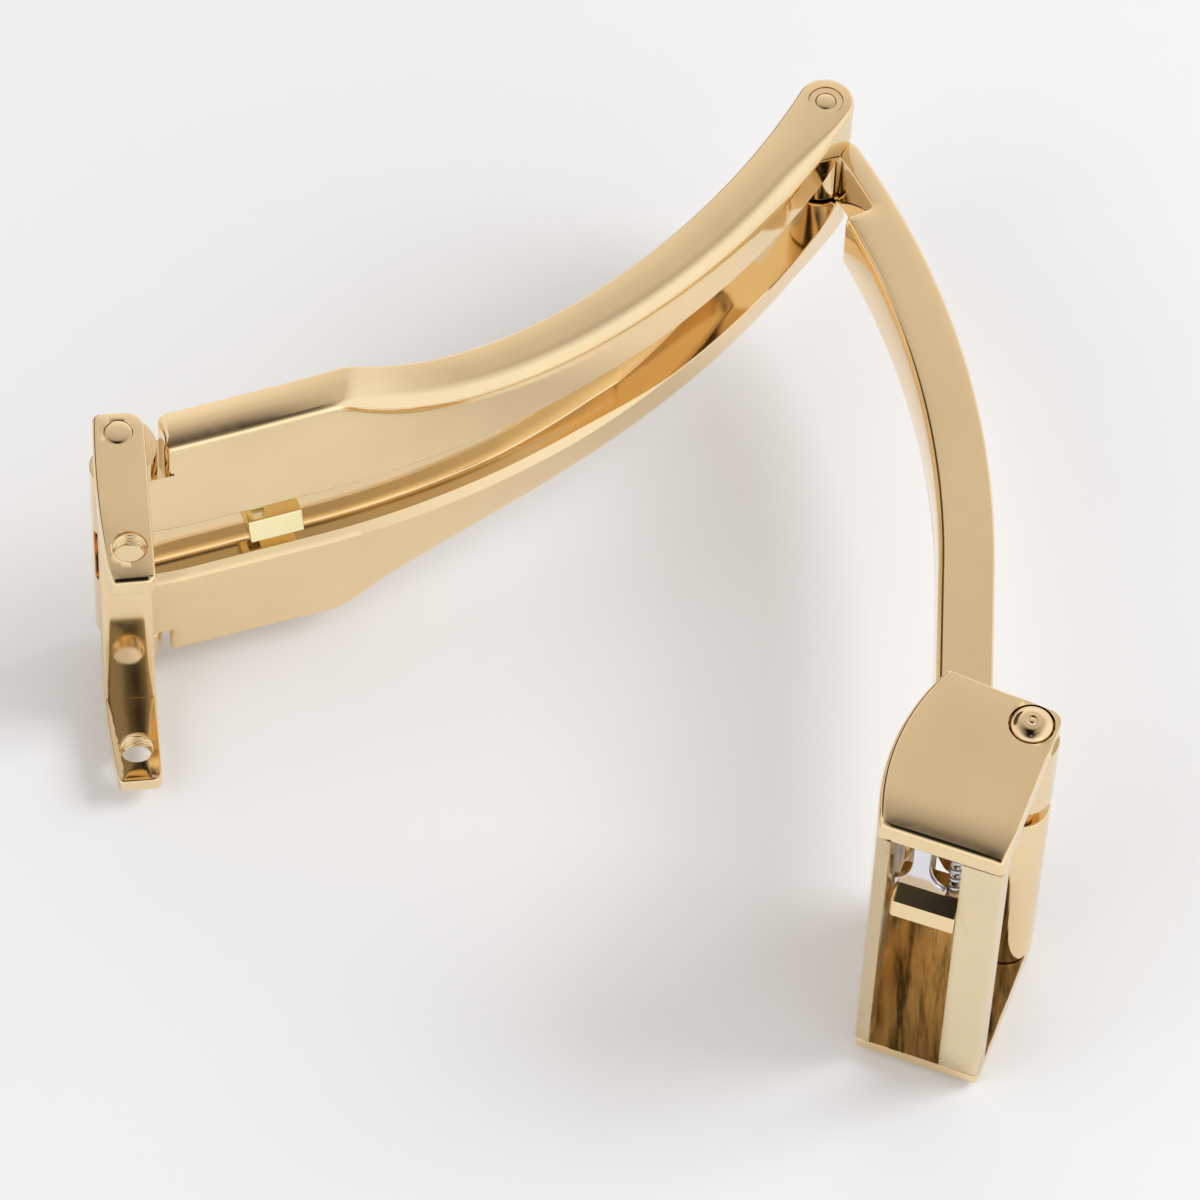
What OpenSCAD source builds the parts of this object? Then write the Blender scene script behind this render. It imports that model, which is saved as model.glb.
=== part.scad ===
// Folding clasp of a wristwatch strap, opened out and standing on its side edge.
// All hinge axes run along Z. X and Y are the plan of the opened clasp.
// Plan coordinates are counted from a point that place() moves to the middle of the whole clasp.

/* [Cover] */
// Width of the cover over both cheeks
cover_w = 17.2; // [17:0.1:17.6]
// Thickness of each cheek of the cover
cheek_t = 1.0; // [0.8:0.05:1.1]
// Thickness of the domed outer wall
wall_t = 0.55; // [0.45:0.05:0.65]
// Radius of the dome seen from the side
dome_r = 10.05; // [10.0:0.01:10.1]
// Width of the window in the end face
window_w = 3.0; // [2.8:0.05:3.1]

/* [End link] */
// Width over both link plates
link_w = 15.8; // [15.6:0.1:16]
// Thickness of each link plate
plate_t = 1.05; // [0.9:0.05:1.1]
// Radius of the threaded hole in each link plate
screw_r = 0.72; // [0.6:0.02:0.74]
// Radius of the boss between each plate and the barrel
boss_r = 1.57; // [1.4:0.01:1.6]

/* [Wide blade] */
// Width of the wide blade at the link end
head_w = 14.86; // [14:0.02:15]
// Width of the wide blade at the fold hinge
fork_w = 7.9; // [7.6:0.1:8.2]
// Thickness of the wide blade at the link end
head_t = 1.9; // [1.8:0.05:2.0]
// Width of the shallow channel in the outer face
channel_w = 3.36; // [3.32:0.02:3.44]
// Depth of the shallow channel
channel_d = 1.25; // [1.2:0.05:1.3]
// Width of the slot that goes right through
slot_w = 3.5; // [3.4:0.05:3.6]

/* [Narrow blade] */
// Width of the narrow blade
bar_w = 3.2; // [3:0.05:3.25]
// Thickness of the narrow blade
bar_t = 2.35; // [2.2:0.05:2.4]
// Thickness of its neck beside the fold hinge
neck_t = 0.95; // [0.85:0.05:1.0]

/* [Pins] */
// Radius of the fold bush
bush_r = 0.75; // [0.7:0.01:0.78]
// Radius of the fold pin
fold_pin_r = 0.42; // [0.35:0.01:0.45]
// Radius of the link pin
link_pin_r = 0.6; // [0.5:0.02:0.62]
// Radius of the cover pin
cover_pin_r = 0.6; // [0.5:0.02:0.62]
// Radial running clearance of each turning knuckle
run = 0.05; // [0.03:0.01:0.08]

/* [Latch] */
// Wire radius of the latch spring
wire_r = 0.09; // [0.07:0.01:0.1]
// Mean radius of the latch spring
coil_r = 0.31; // [0.29:0.01:0.32]
// Number of turns of the latch spring
turns = 7; // [5:1:8]

/* [Hidden] */
$fn = 96;
gold = [0.86, 0.70, 0.42];
gold2 = [0.80, 0.64, 0.38];
steel = [0.70, 0.71, 0.73];

// Middle of the clasp in plan, and the middle plane of its width
mid = [-1.31, 3.765];
zm = cover_w / 2;

// The three hinge axes in plan
LP = [-20.06, 1.69];    // link pin
FP = [8.63, 23.92];     // fold pin
CP = [17.49, -10.93];   // cover pin
pin_rise = 0.3;         // how far the near head of the cover pin stands above the cheek

// Wide blade: straight head, then an arc to the fold hinge
a0 = 20.8;              // direction of the head
AR = 40;                // radius of its outer face
AC = [-26.215, 40.94];  // centre of that arc
a1 = 64;                // direction at the fold hinge
end_r = 1.22;           // radius of the rounded fork end
n0 = [-sin(a0), cos(a0)];
t0 = [cos(a0), sin(a0)];
TP = AC - AR * n0;      // where head and arc meet, on the outer face
function thick(a) = head_t + (2 * end_r - head_t) * max(0, (a - a0) / (a1 - a0));
function on_arc(a, r) = AC + r * [sin(a), -cos(a)];
arc_n = 26;
out_pts = [for (i = [0:arc_n]) let (a = a0 + (a1 - a0) * i / arc_n) on_arc(a, AR)];
in_pts = [for (i = [arc_n:-1:0]) let (a = a0 + (a1 - a0) * i / arc_n) on_arc(a, AR - thick(a))];
head_l = 8.1;           // from the meeting point back to the link pin
head_out = TP - head_l * t0;
head_in = head_out + head_t * n0;
knuckle_r = 1.25;       // barrel of the wide blade round the link pin
knuckle_h = 5.55;       // half length of that barrel
notch_r = 1.87;         // clearance cut round each boss

// Half width of the wide blade along X
x_taper = -10.9;
function half_w(x) = x < x_taper ? head_w / 2
    : fork_w / 2 + (head_w - fork_w) / 2 * exp(-(x - x_taper) / 4.9);
taper_n = 30;
taper = [for (i = [0:taper_n]) let (x = x_taper + (FP[0] + 2 - x_taper) * i / taper_n) [x, half_w(x)]];

// Narrow blade: arc from the fold hinge, then straight down into the cover
BR = 41;                // radius of its outer face
BC = [-24.65, 1.7];     // centre of that arc
b_neck = 27.4;          // polar angle where the neck ends
b_top = 32.6;           // polar angle close to the fold hinge
bar_end = -10.6;        // lower end of its straight stretch
lap = 0.35;             // depth of its inner chamfers
barrel_r = 1.2;         // cross barrel round the cover pin
barrel_z0 = 1.1;
barrel_z1 = 11.45;

// Cover in plan
CA = [14.17, -8.37];
CB = [18.79, -10.42];
CC = [16.49, -17.66];
CD = [11.55, -16.15];
DC = [21.5, -15.24];    // centre of the dome
U = (CC - CD) / norm(CC - CD);
V = [-U[1], U[0]];
function uv(u, v) = CD + u * U + v * V;
win_u0 = 0.45;
win_u1 = win_u0 + window_w;
knuckle_z = 12.3;       // lower end of the near knuckle

// Latch inside the cover, counted along the end face (u) and inwards (v)
bar_z = 11.6;           // middle of the bar's back part
bar_r = 0.65;           // half its height
bar_back = 1.95;
bar_pts = [[bar_back, bar_z + bar_r], [0.95, bar_z + bar_r], [0.2, 11.82], [0.12, 11.74], [0.1, 11.64], [0.1, 10.92], [0.17, 10.85],
    [0.75, 10.85], [0.85, 10.9], [0.85, bar_z - bar_r], [bar_back, bar_z - bar_r]];
bar_u0 = 0.66;
bar_u1 = 3.38;
tongue_u = 1.6;
tongue_v = 1.05;
seat = 0.25;            // how deep the tongue sits in the bar
spring_u = 3.02;
spring_v = 1.5;
post_r = 0.14;

function unit(v) = v / norm(v);
// Points of a rounded corner b between a and c
function corner(a, b, c, r, n = 5) = let (u = unit(a - b), w = unit(c - b), h = acos(u * w) / 2,
    p = b + u * (r / tan(h)), q = b + w * (r / tan(h)), o = b + unit(u + w) * (r / sin(h)),
    s = atan2(p[1] - o[1], p[0] - o[0]), f = atan2(q[1] - o[1], q[0] - o[0]),
    d = ((f - s + 540) % 360) - 180)
    [for (i = [0:n]) o + r * [cos(s + d * i / n), sin(s + d * i / n)]];
function rounded(pts, rs) = let (m = len(pts)) [for (i = [0:m - 1])
    each corner(pts[(i + m - 1) % m], pts[i], pts[(i + 1) % m], rs[i])];
function arc(c, r, s, f, n) = [for (i = [0:n]) c + r * [cos(s + (f - s) * i / n), sin(s + (f - s) * i / n)]];

module place() { translate([-mid[0], -mid[1], 0]) children(); }
module at(p, z = 0) { translate([p[0], p[1], z]) children(); }
module post(p, r, z0, z1) { at(p, z0) cylinder(r = r, h = z1 - z0); }
module plan(z0, z1) { translate([0, 0, z0]) linear_extrude(z1 - z0) children(); }

// ---- Wide blade ----
module blade_side() {
    polygon(concat([head_out], out_pts, in_pts, [head_in]));
    translate(FP) circle(r = end_r);
}
module blade_front() {
    // widths over X, pushed along Y
    translate([0, 60, zm]) rotate([90, 0, 0]) linear_extrude(100)
        polygon(concat([[LP[0] - 2, knuckle_h], [LP[0] + 0.9, knuckle_h], [LP[0] + 0.9, head_w / 2], [x_taper, head_w / 2]],
            taper, [for (i = [taper_n:-1:0]) [taper[i][0], -taper[i][1]]],
            [[x_taper, -head_w / 2], [LP[0] + 0.9, -head_w / 2], [LP[0] + 0.9, -knuckle_h], [LP[0] - 2, -knuckle_h]]));
}
// Section of the channel: x is the depth out of the floor, y the half width
channel_bevel = 0.35;
function channel_section(out) = [[-out, -channel_w / 2], [-out, channel_w / 2],
    [-channel_bevel, channel_w / 2], [0.5, channel_w / 2 + channel_bevel + 0.5],
    [0.5, -channel_w / 2 - channel_bevel - 0.5], [-channel_bevel, -channel_w / 2]];
module channel_cut() {
    // arc stretch
    at(AC, zm) rotate([0, 0, a0 - 90]) rotate_extrude(angle = 30.2, $fn = 128)
        translate([AR, 0]) polygon(channel_section(channel_d));
    // straight stretch along the head
    at(TP, zm) rotate([0, 0, a0]) translate([-9.5, 0, 0]) rotate([90, 0, 90]) linear_extrude(9.5 + 0.2)
        polygon([for (p = channel_section(channel_d)) [-p[0], p[1]]]);
}
ramp_a0 = 43.2;
ramp_a1 = 56;
module slot_cut() {
    // the floor falls slowly towards the hinge, where the slot goes right through
    plan(zm - slot_w / 2, zm + slot_w / 2)
        polygon(concat([for (i = [0:12]) let (a = ramp_a0 + (ramp_a1 - ramp_a0) * i / 12) on_arc(a, AR - channel_d - 0.0725 * (a - ramp_a0))],
            [for (i = [0:8]) let (a = ramp_a1 + (74 - ramp_a1) * i / 8) on_arc(a, AR - 5)],
            [for (i = [8:-1:0]) let (a = ramp_a0 + (74 - ramp_a0) * i / 8) on_arc(a, AR + 3)]));
}
module wide_blade() {
    color(gold) place() difference() {
        union() {
            intersection() {
                plan(zm - head_w / 2, zm + head_w / 2) blade_side();
                blade_front();
            }
            post(LP, knuckle_r, zm - knuckle_h, zm + knuckle_h);
        }
        channel_cut();
        slot_cut();
        for (s = [0, 1]) post(LP, notch_r, s == 0 ? -1 : zm + knuckle_h, s == 0 ? zm - knuckle_h : 20);
        post(LP, link_pin_r + run, -1, 20);
        post(FP, bush_r, -1, 20);
    }
}

// ---- Catch block in the channel ----
module catch_block() {
    color(gold) place() at(TP, zm) rotate([0, 0, a0]) translate([-2.95, channel_d, 0]) difference() {
        translate([0, -1.1, -0.47]) cube([2.33, 1.1, 0.94]);
        translate([0.3, -0.85, -1]) cube([0.5, 0.45, 2]);
    }
}

// ---- Fold hinge ----
module fold_bush() {
    color(gold) place() difference() {
        post(FP, bush_r, zm - fork_w / 2, zm + fork_w / 2);
        post(FP, fold_pin_r, -1, 20);
    }
}
module fold_pin() { color(gold2) place() post(FP, fold_pin_r, zm - fork_w / 2 - 0.02, zm + fork_w / 2 + 0.02); }

// ---- End link ----
screw_p = [-19.17, -3.97];
link_a = [-21.2, 2.55];
link_b = [-19.12, 2.87];
link_c = [-17.97, -5.5];
link_d = [-19.78, -5.78];
// The left edge bulges a little
bulge = 0.2;
link_dir = unit(link_d - link_a);
link_out = [link_dir[1], -link_dir[0]];
function left_edge(t) = link_d + t * (link_a - link_d) + 4 * bulge * t * (1 - t) * link_out;
left_pts = [for (i = [0:16]) left_edge(0.06 + 0.88 * i / 16)];
link_pts = concat(corner(left_edge(0.9), link_a, link_b, 0.25), corner(link_a, link_b, link_c, 0.8),
    corner(link_b, link_c, link_d, 0.35), corner(link_c, link_d, left_edge(0.1), 0.3), left_pts);
// Direction from the link pin to the plates' free end
link_ax = [0.147, -0.989];
link_ay = [0.989, 0.147];
bridge_d0 = 1.42;
bridge_d1 = 3.2;
module beyond(d) { polygon([for (q = [[d, -6], [d, 6], [12, 6], [12, -6]]) LP + q[0] * link_ax + q[1] * link_ay]); }
module link_plate(z0) {
    color(gold) place() difference() {
        plan(z0, z0 + plate_t) polygon(link_pts);
        post(LP, link_pin_r, z0 - 1, z0 + plate_t + 1);
        post(screw_p, screw_r, z0 - 1, z0 + plate_t + 1);
    }
}
module near_link_plate() { link_plate(zm + link_w / 2 - plate_t); }
module far_link_plate() { link_plate(zm - link_w / 2); }
// Solid bar between the plates, flush with their edges
module link_bridge() {
    color(gold) place() plan(zm - link_w / 2 + plate_t, zm + link_w / 2 - plate_t)
        polygon(rounded([[-20.93, 0.12], [-18.76, 0.45], [-18.55, -1.34], [-20.69, -1.66]], [0.05, 0.05, 0.16, 0.16]));
}
// Round boss, cut flat where the plates' left edge runs and where the bridge starts
module boss(z0, z1) {
    color(gold) place() difference() {
        plan(z0, z1) difference() {
            intersection() {
                translate(LP) circle(r = boss_r);
                polygon(concat(left_pts, [[-21.2, 4], [-15, 4], [-15, -6]]));
            }
            beyond(bridge_d0);
        }
        post(LP, link_pin_r, z0 - 1, z1 + 1);
    }
}
module near_boss() { boss(zm + knuckle_h + 0.05, zm + link_w / 2 - plate_t); }
module far_boss() { boss(zm - link_w / 2 + plate_t, zm - knuckle_h - 0.05); }
module link_pin() { color(gold2) place() post(LP, link_pin_r, zm - link_w / 2 - 0.04, zm + link_w / 2 + 0.04); }

// ---- Narrow blade ----
module bar_section(t) {
    // x runs from the outer face inwards to -t, y over the width
    polygon([[0, -bar_w / 2 + 0.15], [0, bar_w / 2 - 0.15], [-0.15, bar_w / 2], [-t + lap, bar_w / 2], [-t, bar_w / 2 - 0.45],
        [-t, -bar_w / 2 + 0.45], [-t + lap, -bar_w / 2], [-0.15, -bar_w / 2]]);
}
module narrow_blade() {
    color(gold) place() difference() {
        union() {
            at(BC, zm) rotate_extrude(angle = b_neck, $fn = 128) translate([BR, 0]) bar_section(bar_t);
            at(BC, zm) rotate([0, 0, b_neck - 0.1]) rotate_extrude(angle = b_top - b_neck + 0.1, $fn = 128)
                translate([BR - neck_t, -bar_w / 2]) square([neck_t, bar_w]);
            post(FP, 1.15, zm - bar_w / 2, zm + bar_w / 2);
            translate([BC[0] + BR, BC[1] + 0.05, zm]) rotate([90, 0, 0]) linear_extrude(BC[1] + 0.05 - bar_end) bar_section(bar_t);
            // foot that joins the cross barrel
            plan(zm - bar_w / 2, zm + bar_w / 2) polygon([[14.6, bar_end - 0.9], [14.0, bar_end], [14.0, bar_end + 0.5],
                [16.35, -8.6], [17.0, -9.83], CP, [16.9, -11.97], [15.6, -12.0]]);
            post(CP, barrel_r, barrel_z0, barrel_z1);
        }
        post(FP, bush_r + run, -1, 20);
        post(CP, cover_pin_r + run, -1, 20);
        // pocket for the catch block
        translate([13.5, -8.4, zm - 1.0]) cube([1.35, 4.4, 2.0]);
    }
}

// ---- Cover ----
cheek_pts = concat(arc(DC, dome_r, 184.6, 137.4, 22), corner(CA, CB, CC, 0.55), corner(CB, CC, CD, 0.2));
module cheek(z0, out) {
    color(gold) place() difference() {
        plan(z0, z0 + cheek_t) polygon(cheek_pts);
        post(CP, cover_pin_r, z0 - 1, z0 + cheek_t + 1);
        if (out > 0) post(CP, 0.95, z0 + cheek_t - 0.42, z0 + cheek_t + 1);
        else post(CP, 0.95, z0 - 1, z0 + 0.42);
    }
}
module near_cheek() { cheek(cover_w - cheek_t, 1); }
module far_cheek() { cheek(0, -1); }
module outer_wall() {
    color(gold) place() difference() {
        plan(cheek_t, cover_w - cheek_t) polygon(concat(arc(DC, dome_r, 182.6, 137.4, 20), arc(DC, dome_r - wall_t, 137.4, 182.6, 20)));
        // room for the narrow blade
        translate([12.9, -11, zm - bar_w / 2 - 0.3]) cube([4, 4, bar_w + 0.6]);
    }
}
module end_frame() {
    color(gold) place() plan(cheek_t, cover_w - cheek_t)
        polygon(concat([uv(win_u0, 0)], arc(DC, dome_r, 184.6, 182.66, 3), [DC + (dome_r - wall_t) * [cos(182.66), sin(182.66)], uv(0.52, 0.62)]));
}
module inner_rail() {
    color(gold) place() plan(cheek_t, cover_w - cheek_t)
        polygon(concat([uv(win_u1, 0)], [uv(win_u1, 0.95)], [CC + 0.97 * unit(CB - CC)], corner(CB, CC, CD, 0.2)));
}
module near_knuckle() { color(gold) place() difference() { post(CP, 1.2, knuckle_z, cover_w - cheek_t); post(CP, cover_pin_r, 0, 20); } }
module cover_pin() {
    color(gold2) place() at(CP) rotate_extrude() polygon(concat([[0, 0.05], [0.5, 0.09], [0.83, 0.2], [0.9, 0.3], [0.9, 0.42], [cover_pin_r, 0.42],
        [cover_pin_r, cover_w - 0.42], [0.9, cover_w - 0.42], [0.9, cover_w - 0.15]],
        [for (i = [0:6]) let (a = 20 + 70 * i / 6) [0.88 * cos(a) / cos(20), cover_w - 0.1 + (pin_rise + 0.1) * (sin(a) - sin(20)) / (1 - sin(20))]]));
}
module spring_post() {
    color(steel) place() at(uv(spring_u, spring_v)) rotate_extrude()
        polygon([[0, bar_z - 1.0], [0.3, bar_z - 1.0], [0.3, bar_z - 0.73], [post_r, bar_z - 0.73], [post_r, cover_w - cheek_t], [0, cover_w - cheek_t]]);
}

// ---- Latch ----
module in_cover() { at(CD) rotate([0, 0, atan2(U[1], U[0])]) children(); }
module latch_tongue() {
    foot = bar_z + bar_r - seat;
    color(steel) place() in_cover() translate([tongue_u, tongue_v + 0.15, 0]) rotate([90, 0, 0]) linear_extrude(0.3)
        polygon(concat([[-1.12, foot], [1.12, foot], [1.12, foot + seat + 0.2]],
            [for (i = [0:8]) let (a = 90 * i / 8) [1.12 - 0.76 * sin(a), foot + seat + 1.7 - 1.5 * cos(a)]], [[0.36, 15.6], [-0.36, 15.6]],
            [for (i = [8:-1:0]) let (a = 90 * i / 8) [-1.12 + 0.76 * sin(a), foot + seat + 1.7 - 1.5 * cos(a)]], [[-1.12, foot + seat + 0.2]]));
}
module latch_bar() {
    color(gold) place() difference() {
        in_cover() translate([bar_u0, 0, 0]) rotate([90, 0, 90]) linear_extrude(bar_u1 - bar_u0) polygon(bar_pts);
        in_cover() translate([tongue_u - 1.12, tongue_v - 0.15, bar_z + bar_r - seat]) cube([2.24, 0.3, 1]);
        post(uv(spring_u, spring_v), post_r + 0.06, 5, 20);
    }
}
coil_n = 10;
spring_z0 = bar_z + bar_r + 0.02;
spring_z1 = cover_w - cheek_t - 0.02;
module latch_spring() {
    steps = round(turns) * coil_n;
    c = uv(spring_u, spring_v);
    h = spring_z1 - spring_z0 - 2 * wire_r;
    rings = [for (i = [0:steps]) let (a = 360 * i / coil_n, o = [c[0] + coil_r * cos(a), c[1] + coil_r * sin(a), spring_z0 + wire_r + h * i / steps])
        [for (k = [0:5]) let (b = 60 * k) o + wire_r * [cos(b) * cos(a), cos(b) * sin(a), sin(b)]]];
    pts = [for (r = rings) each r];
    faces = concat([[5, 4, 3, 2, 1, 0]], [[for (k = [0:5]) steps * 6 + k]],
        [for (i = [0:steps - 1]) for (k = [0:5]) each [[i * 6 + k, i * 6 + (k + 1) % 6, (i + 1) * 6 + (k + 1) % 6],
            [i * 6 + k, (i + 1) * 6 + (k + 1) % 6, (i + 1) * 6 + k]]]);
    color(steel) place() polyhedron(points = pts, faces = faces);
}

wide_blade();
catch_block();
fold_bush();
fold_pin();
near_link_plate();
far_link_plate();
link_bridge();
near_boss();
far_boss();
link_pin();
narrow_blade();
near_cheek();
far_cheek();
outer_wall();
end_frame();
inner_rail();
near_knuckle();
cover_pin();
spring_post();
latch_tongue();
latch_bar();
latch_spring();
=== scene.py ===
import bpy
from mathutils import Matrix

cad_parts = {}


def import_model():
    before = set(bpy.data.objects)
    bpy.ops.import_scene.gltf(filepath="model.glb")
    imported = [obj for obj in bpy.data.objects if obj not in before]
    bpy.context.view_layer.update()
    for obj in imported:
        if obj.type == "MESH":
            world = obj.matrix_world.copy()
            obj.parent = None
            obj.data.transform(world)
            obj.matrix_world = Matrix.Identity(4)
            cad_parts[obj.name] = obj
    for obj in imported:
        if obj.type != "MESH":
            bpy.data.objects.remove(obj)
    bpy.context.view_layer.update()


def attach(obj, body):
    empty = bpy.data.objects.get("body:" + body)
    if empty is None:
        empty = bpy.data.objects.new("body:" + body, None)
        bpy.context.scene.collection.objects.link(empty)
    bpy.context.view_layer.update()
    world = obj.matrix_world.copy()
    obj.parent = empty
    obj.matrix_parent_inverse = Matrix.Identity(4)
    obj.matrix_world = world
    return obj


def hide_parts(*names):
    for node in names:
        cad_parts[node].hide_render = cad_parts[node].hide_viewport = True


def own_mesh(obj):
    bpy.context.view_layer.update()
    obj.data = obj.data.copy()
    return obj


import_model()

import bpy
import bmesh
import math
import numpy as np
from mathutils import Matrix, Vector
from mathutils.geometry import delaunay_2d_cdt

# Everything is built in the CAD's plan coordinates, in millimetres, and moved into the row frame at the end.
MID = (-1.31, 3.765)
ZM = 8.6
LP = np.array([-20.06, 1.69])
FP = np.array([8.63, 23.92])
CP = np.array([17.49, -10.93])
TO_ROW = Matrix.Scale(0.001, 4) @ Matrix.Translation((-MID[0], -MID[1], 0.0))


def rad(a):
    return math.radians(a)


# ------------------------------------------------------------------ mesh tools
def new_obj(name, verts, faces, merge=1e-4):
    me = bpy.data.meshes.new(name)
    me.from_pydata([tuple(map(float, v)) for v in verts], [], faces)
    bm = bmesh.new()
    bm.from_mesh(me)
    bmesh.ops.remove_doubles(bm, verts=bm.verts, dist=merge)
    loose = [v for v in bm.verts if not v.link_faces]
    bmesh.ops.delete(bm, geom=loose, context="VERTS")
    bmesh.ops.recalc_face_normals(bm, faces=bm.faces)
    open_edges = sum(1 for e in bm.edges if len(e.link_faces) != 2)
    if open_edges:
        print("OPEN EDGES", name, open_edges)
    bm.to_mesh(me)
    bm.free()
    ob = bpy.data.objects.new(name, me)
    bpy.context.scene.collection.objects.link(ob)
    return ob


def boolean(ob, cutter, op="DIFFERENCE"):
    m = ob.modifiers.new("cut", "BOOLEAN")
    m.operation = op
    m.solver = "EXACT"
    m.object = cutter
    bpy.context.view_layer.update()
    dg = bpy.context.evaluated_depsgraph_get()
    me = bpy.data.meshes.new_from_object(ob.evaluated_get(dg))
    ob.modifiers.clear()
    ob.data = me
    if not me.polygons:
        print("BOOLEAN left nothing", ob.name, cutter.name)
    bpy.data.objects.remove(cutter)
    return ob


def bevel(ob, width, seg=2, angle=35.0):
    """Rounds the sharp edges and keeps the result in the mesh."""
    m = ob.modifiers.new("bevel", "BEVEL")
    m.width = width
    m.segments = seg
    m.limit_method = "ANGLE"
    m.angle_limit = rad(angle)
    m.use_clamp_overlap = True
    bpy.context.view_layer.update()
    dg = bpy.context.evaluated_depsgraph_get()
    me = bpy.data.meshes.new_from_object(ob.evaluated_get(dg))
    ob.modifiers.clear()
    ob.data = me
    return ob


def done(ob, mat, body, nodes, smooth=32.0, weighted=True):
    """Moves a finished piece into the row frame, shades it and gives it to its body."""
    ob.data.transform(TO_ROW)
    ob.data.shade_smooth()
    ob.data.set_sharp_from_angle(angle=rad(smooth))
    ob.data.materials.clear()
    ob.data.materials.append(mat)
    for p in ob.data.polygons:
        p.material_index = 0
    if weighted:
        w = ob.modifiers.new("normals", "WEIGHTED_NORMAL")
        w.keep_sharp = True
        w.weight = 60
    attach(ob, body)
    if nodes:
        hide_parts(*nodes)
    return ob


def arc(c, r, a, b, n):
    return [(c[0] + r * math.cos(rad(a + (b - a) * i / n)), c[1] + r * math.sin(rad(a + (b - a) * i / n))) for i in range(n + 1)]


def corner(a, b, c, r, n=6):
    """Rounded corner b between a and c."""
    a, b, c = (np.array(p, float) for p in (a, b, c))
    u = (a - b) / np.linalg.norm(a - b)
    w = (c - b) / np.linalg.norm(c - b)
    h = math.acos(max(-1, min(1, float(u @ w)))) / 2
    p, q = b + u * r / math.tan(h), b + w * r / math.tan(h)
    m = u + w
    o = b + m / np.linalg.norm(m) * r / math.sin(h)
    s = math.atan2(p[1] - o[1], p[0] - o[0])
    f = math.atan2(q[1] - o[1], q[0] - o[0])
    d = (f - s + 3 * math.pi) % (2 * math.pi) - math.pi
    return [(o[0] + r * math.cos(s + d * i / n), o[1] + r * math.sin(s + d * i / n)) for i in range(n + 1)]


def resample(pts, step):
    """Adds points on the long edges of a closed outline and drops doubles. The points stand out by a hair, so that
    no three of them are exactly in line."""
    out = []
    n = len(pts)
    sign = 1.0 if area(np.array(pts, float)) > 0 else -1.0
    for i in range(n):
        p, q = np.array(pts[i], float), np.array(pts[(i + 1) % n], float)
        d = float(np.linalg.norm(q - p))
        if d < 1e-5:
            continue
        k = max(1, int(math.ceil(d / step)))
        hair = np.array([q[1] - p[1], p[0] - q[0]]) / d * sign * 4e-5
        for j in range(k):
            out.append(p + (q - p) * j / k + hair * 4 * (j / k) * (1 - j / k))
    return np.array(out)


def area(p):
    x, y = p[:, 0], p[:, 1]
    return 0.5 * float(np.sum(x * np.roll(y, -1) - np.roll(x, -1) * y))


def outward(p):
    """Offset directions of a closed outline that runs counter-clockwise."""
    e = np.roll(p, -1, 0) - p
    e /= np.linalg.norm(e, axis=1)[:, None]
    n = np.stack([e[:, 1], -e[:, 0]], 1)
    prev = np.roll(n, 1, 0)
    m = n + prev
    ln = np.linalg.norm(m, axis=1)
    m /= np.maximum(ln, 1e-9)[:, None]
    c = np.clip(np.sum(m * n, 1), 0.5, 1.0)
    return m / c[:, None]


def seg_dist(q, loop):
    """Distance of each point in q to a closed loop."""
    a, b = loop, np.roll(loop, -1, 0)
    ab = b - a
    l2 = np.maximum(np.sum(ab * ab, 1), 1e-12)
    best = np.full(len(q), 1e9)
    for s in range(0, len(q), 400):
        qq = q[s : s + 400]
        t = np.clip(((qq[:, None, :] - a[None]) * ab[None]).sum(2) / l2[None], 0, 1)
        d = np.linalg.norm(qq[:, None, :] - (a[None] + t[..., None] * ab[None]), axis=2)
        best[s : s + 400] = d.min(1)
    return best


def inside(q, loop):
    x, y = q[:, 0][:, None], q[:, 1][:, None]
    a, b = loop[None], np.roll(loop, -1, 0)[None]
    cond = (a[..., 1] > y) != (b[..., 1] > y)
    dy = np.where(np.abs(b[..., 1] - a[..., 1]) < 1e-12, 1e-12, b[..., 1] - a[..., 1])
    xi = (b[..., 0] - a[..., 0]) * (y - a[..., 1]) / dy + a[..., 0]
    return (np.sum(cond & (x < xi), 1) % 2) == 1


def cap_tris(outer, loops, grid):
    """Triangulates outer minus loops with an even field of points. Returns points and triangles."""
    pts = [outer] + list(loops)
    lo, hi = outer.min(0), outer.max(0)
    rows = np.arange(lo[1] + grid * 0.5, hi[1], grid * 0.866)
    field = []
    for k, y in enumerate(rows):
        for x in np.arange(lo[0] + (grid * 0.5 if k % 2 else 0.0) + grid * 0.3, hi[0], grid):
            field.append((x, y))
    field = np.array(field) if field else np.zeros((0, 2))
    if len(field):
        keep = inside(field, outer) & (seg_dist(field, outer) > grid * 0.45)
        for lp in loops:
            keep &= ~inside(field, lp) & (seg_dist(field, lp) > grid * 0.45)
        field = field[keep]
    allp = np.concatenate(pts + ([field] if len(field) else []))
    edges = []
    at = 0
    for lp in pts:
        n = len(lp)
        edges += [(at + i, at + (i + 1) % n) for i in range(n)]
        at += n
    out_v, _, out_f, ov, _, _ = delaunay_2d_cdt([Vector((float(p[0]), float(p[1]))) for p in allp], edges, [list(range(len(outer)))], 1, 1e-7)
    pos = np.array([(v[0], v[1]) for v in out_v])
    index = [o[0] if len(o) else -1 for o in ov]
    tris = [list(f) for f in out_f if len(f) == 3]
    cen = np.array([pos[t].mean(0) for t in tris])
    ok = np.ones(len(tris), bool)
    for lp in loops:
        ok &= ~inside(cen, lp)
    tris = [t for t, k in zip(tris, ok) if k]
    good = []
    for t in tris:
        a, b, c = pos[t[0]], pos[t[1]], pos[t[2]]
        s = (b[0] - a[0]) * (c[1] - a[1]) - (b[1] - a[1]) * (c[0] - a[0])
        good.append(t if s > 0 else t[::-1])
    return pos, good


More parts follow.
